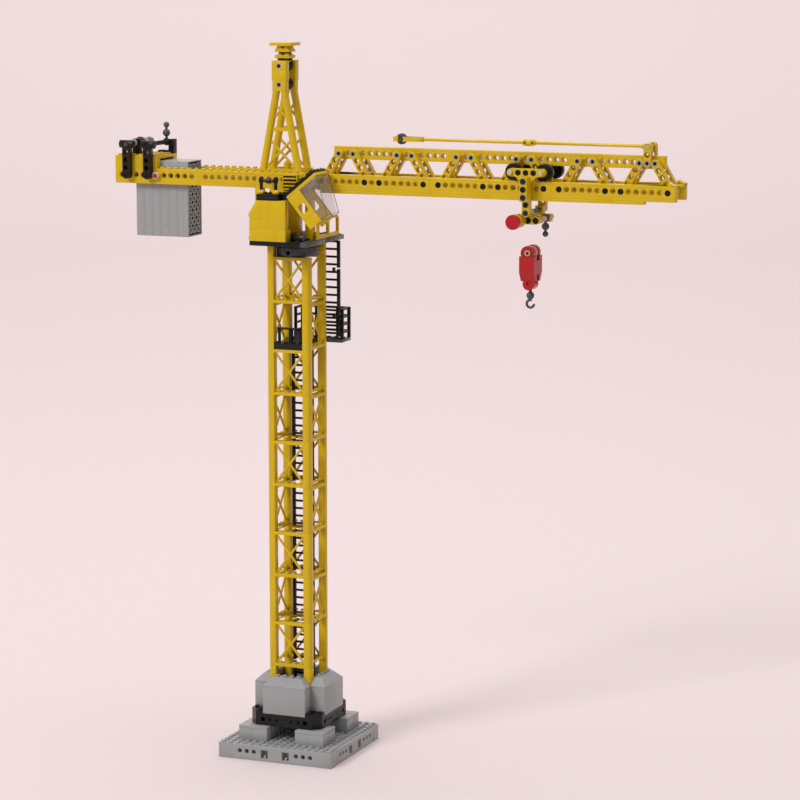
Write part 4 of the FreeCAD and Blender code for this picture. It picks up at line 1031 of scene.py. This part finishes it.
crown = Shapes()
crown.box((-20, -4), (-8, 8), (727, 730.2))
for x, y in ((-16, -4), (-8, -4), (-16, 4), (-8, 4)):
    crown.cylinder("z", STUD_RADIUS, (730.1, 731.8), (x, y), 0.2)
crown.prism("y", [(-20.2, 733.4), (-3.8, 733.4), (-3.8, 734.8), (-7.2, 739.8), (-16.8, 739.8),
                  (-20.2, 734.8)], (-7.9, 7.9))
crown.box((-24, 0), (-12, 12), (739.8, 743.0))
for y in (-16, 3.9):
    crown.box((-20, -4), (y, y + 12.1), (723.8, 724.8), 0.3)
crown.piece("beacon_plates", "upper_works", "yellow_plastic")
dark = Shapes()
dark.cylinder("z", 7.9, (726.05, 727), (HEAD_X, 0), 0.1)
for y in (-7.9, 3.9):
    dark.box((-17, -7), (y + 0.3, y + 3.7), (724.8, 726.1), 0.1)
for x in (-15.4, -8.6):
    for y in (-4, 4):
        dark.cylinder("z", 1.7, (730.1, 733.5), (x, y), 0.2)
dark.prism("y", [(-13.6, 738.9), (-9.4, 738.9), (-10.6, 736.2)], (-8.05, -7.6), 0.1)
dark.piece("beacon_base", "upper_works", "black_plastic", ("head_beacon",))


# ---- trolley and hook ----------------------------------------------------------------------

def trolley_slot(centre):
    """The spare hook is dark grey, and the front bracket is drawn below with round ends."""
    if centre.z < 573 and abs(centre.y - 10) < 1.5:
        return "dark_grey_plastic"
    return None if centre.z < 585 and -20.5 < centre.y < -10 else "yellow_plastic"


mould_sorted("trolley_frame", trolley_slot, edge=0.3)
bracket = Shapes()
arm(bracket, MOTOR_X, -20, SHAFT_LEVEL, 3, 0)
arm(bracket, TROLLEY_X, -20.02, SHAFT_LEVEL, 2, -90)
bracket.piece("trolley_bracket", "trolley", "yellow_plastic")
blues, axles, blacks = Shapes(), Shapes(), Shapes()
mould("trolley_pins")
for z, ring in ((612.2, blues), (604.2, blacks), (596.2, blues)):
    for y, facing in ((-36, 1), (36, -1)):
        button(ring, blacks, TROLLEY_X, y, z, facing)
pin_end(blues, blacks, TROLLEY_X, -28.2, BRACKET_LEVEL, 1, False)
pin_end(blues, blues, TROLLEY_X, -28.2, BRACKET_LEVEL - PITCH, 1)
for x in (252, 260, 268):
    pin_end(blacks, blacks, x, -28.2, RAIL_TOP, 1, False)
for x in (244, 276):
    for span in ((-30.7, -20.4), (20.4, 30.7)):
        axles.cylinder("y", AXLE_RADIUS, span, (x, RAIL_TOP), 0.3)
button(blacks, blacks, SHAFT_X, -20, SHAFT_LEVEL, 1)
pin_end(blacks, blacks, TROLLEY_X, -20.1, SHAFT_LEVEL, 1, False)
blues.piece("trolley_blue_pins", "trolley", "blue_plastic")
axles.piece("trolley_axle_ends", "trolley", "tan_plastic")
blacks.piece("trolley_black_pins", "trolley", "black_plastic")

motor = Shapes()
motor.cylinder("y", 6.4, (-40, -20), (MOTOR_X, SHAFT_LEVEL), 0.4, 40)
motor.cylinder("y", 7.0, (-36, -33), (MOTOR_X, SHAFT_LEVEL), 0.4, 40)
RIBS = 20
for step in range(RIBS):
    turn = Matrix.Rotation(math.tau * step / RIBS, 4, "Y")
    motor.box((6.2, 6.9), (-32, -22), (-0.35, 0.35), 0.1,
              Matrix.Translation((MOTOR_X, 0, SHAFT_LEVEL)) @ turn)
motor.piece("hoist_motor_body", "trolley", "yellow_plastic", ("hoist_motor",))
cap = Shapes()
cap.lathe([(0, -44), (6.9, -44), (7.4, -43.6), (7.5, -43), (7.5, -40), (0, -40)],
          along("y", (MOTOR_X, SHAFT_LEVEL)), 48)
cap.piece("hoist_motor_cap", "trolley", "red_plastic")

mould("inner_wheels", slot="black_plastic")
mould("outer_wheels", slot="black_plastic")
mould("hoist_shaft")
sleeve = Shapes()
for start, end in ((-12.1, -9.9), (-2.7, 7.6), (20.2, 28.6)):
    sleeve.cylinder("y", 2.75, (start, end), (SHAFT_X, SHAFT_LEVEL), 0.3)
sleeve.piece("hoist_shaft_sleeve", "hoist_shaft", "tan_plastic")
mould("hook_block", edge=0.4, crease=20)
mould("block_sheave")
plugs = Shapes()
for span in ((-4.7, -3.1), (3.1, 4.7)):
    plugs.cylinder("y", 2.39, span, (BLOCK_X, 507.5), 0.05)
plugs.piece("hook_block_plugs", "hook_block", "red_plastic")
rings, cores = Shapes(), Shapes()
for y, facing in ((-9.6, 1), (9.6, -1)):
    button(rings, cores, BLOCK_X, y, BLOCK_AXIS, facing)
rings.piece("block_pin_rings", "block_sheave", "tan_plastic")
cores.piece("block_pin_cores", "block_sheave", "black_plastic")
mould("hook", edge=0.2)
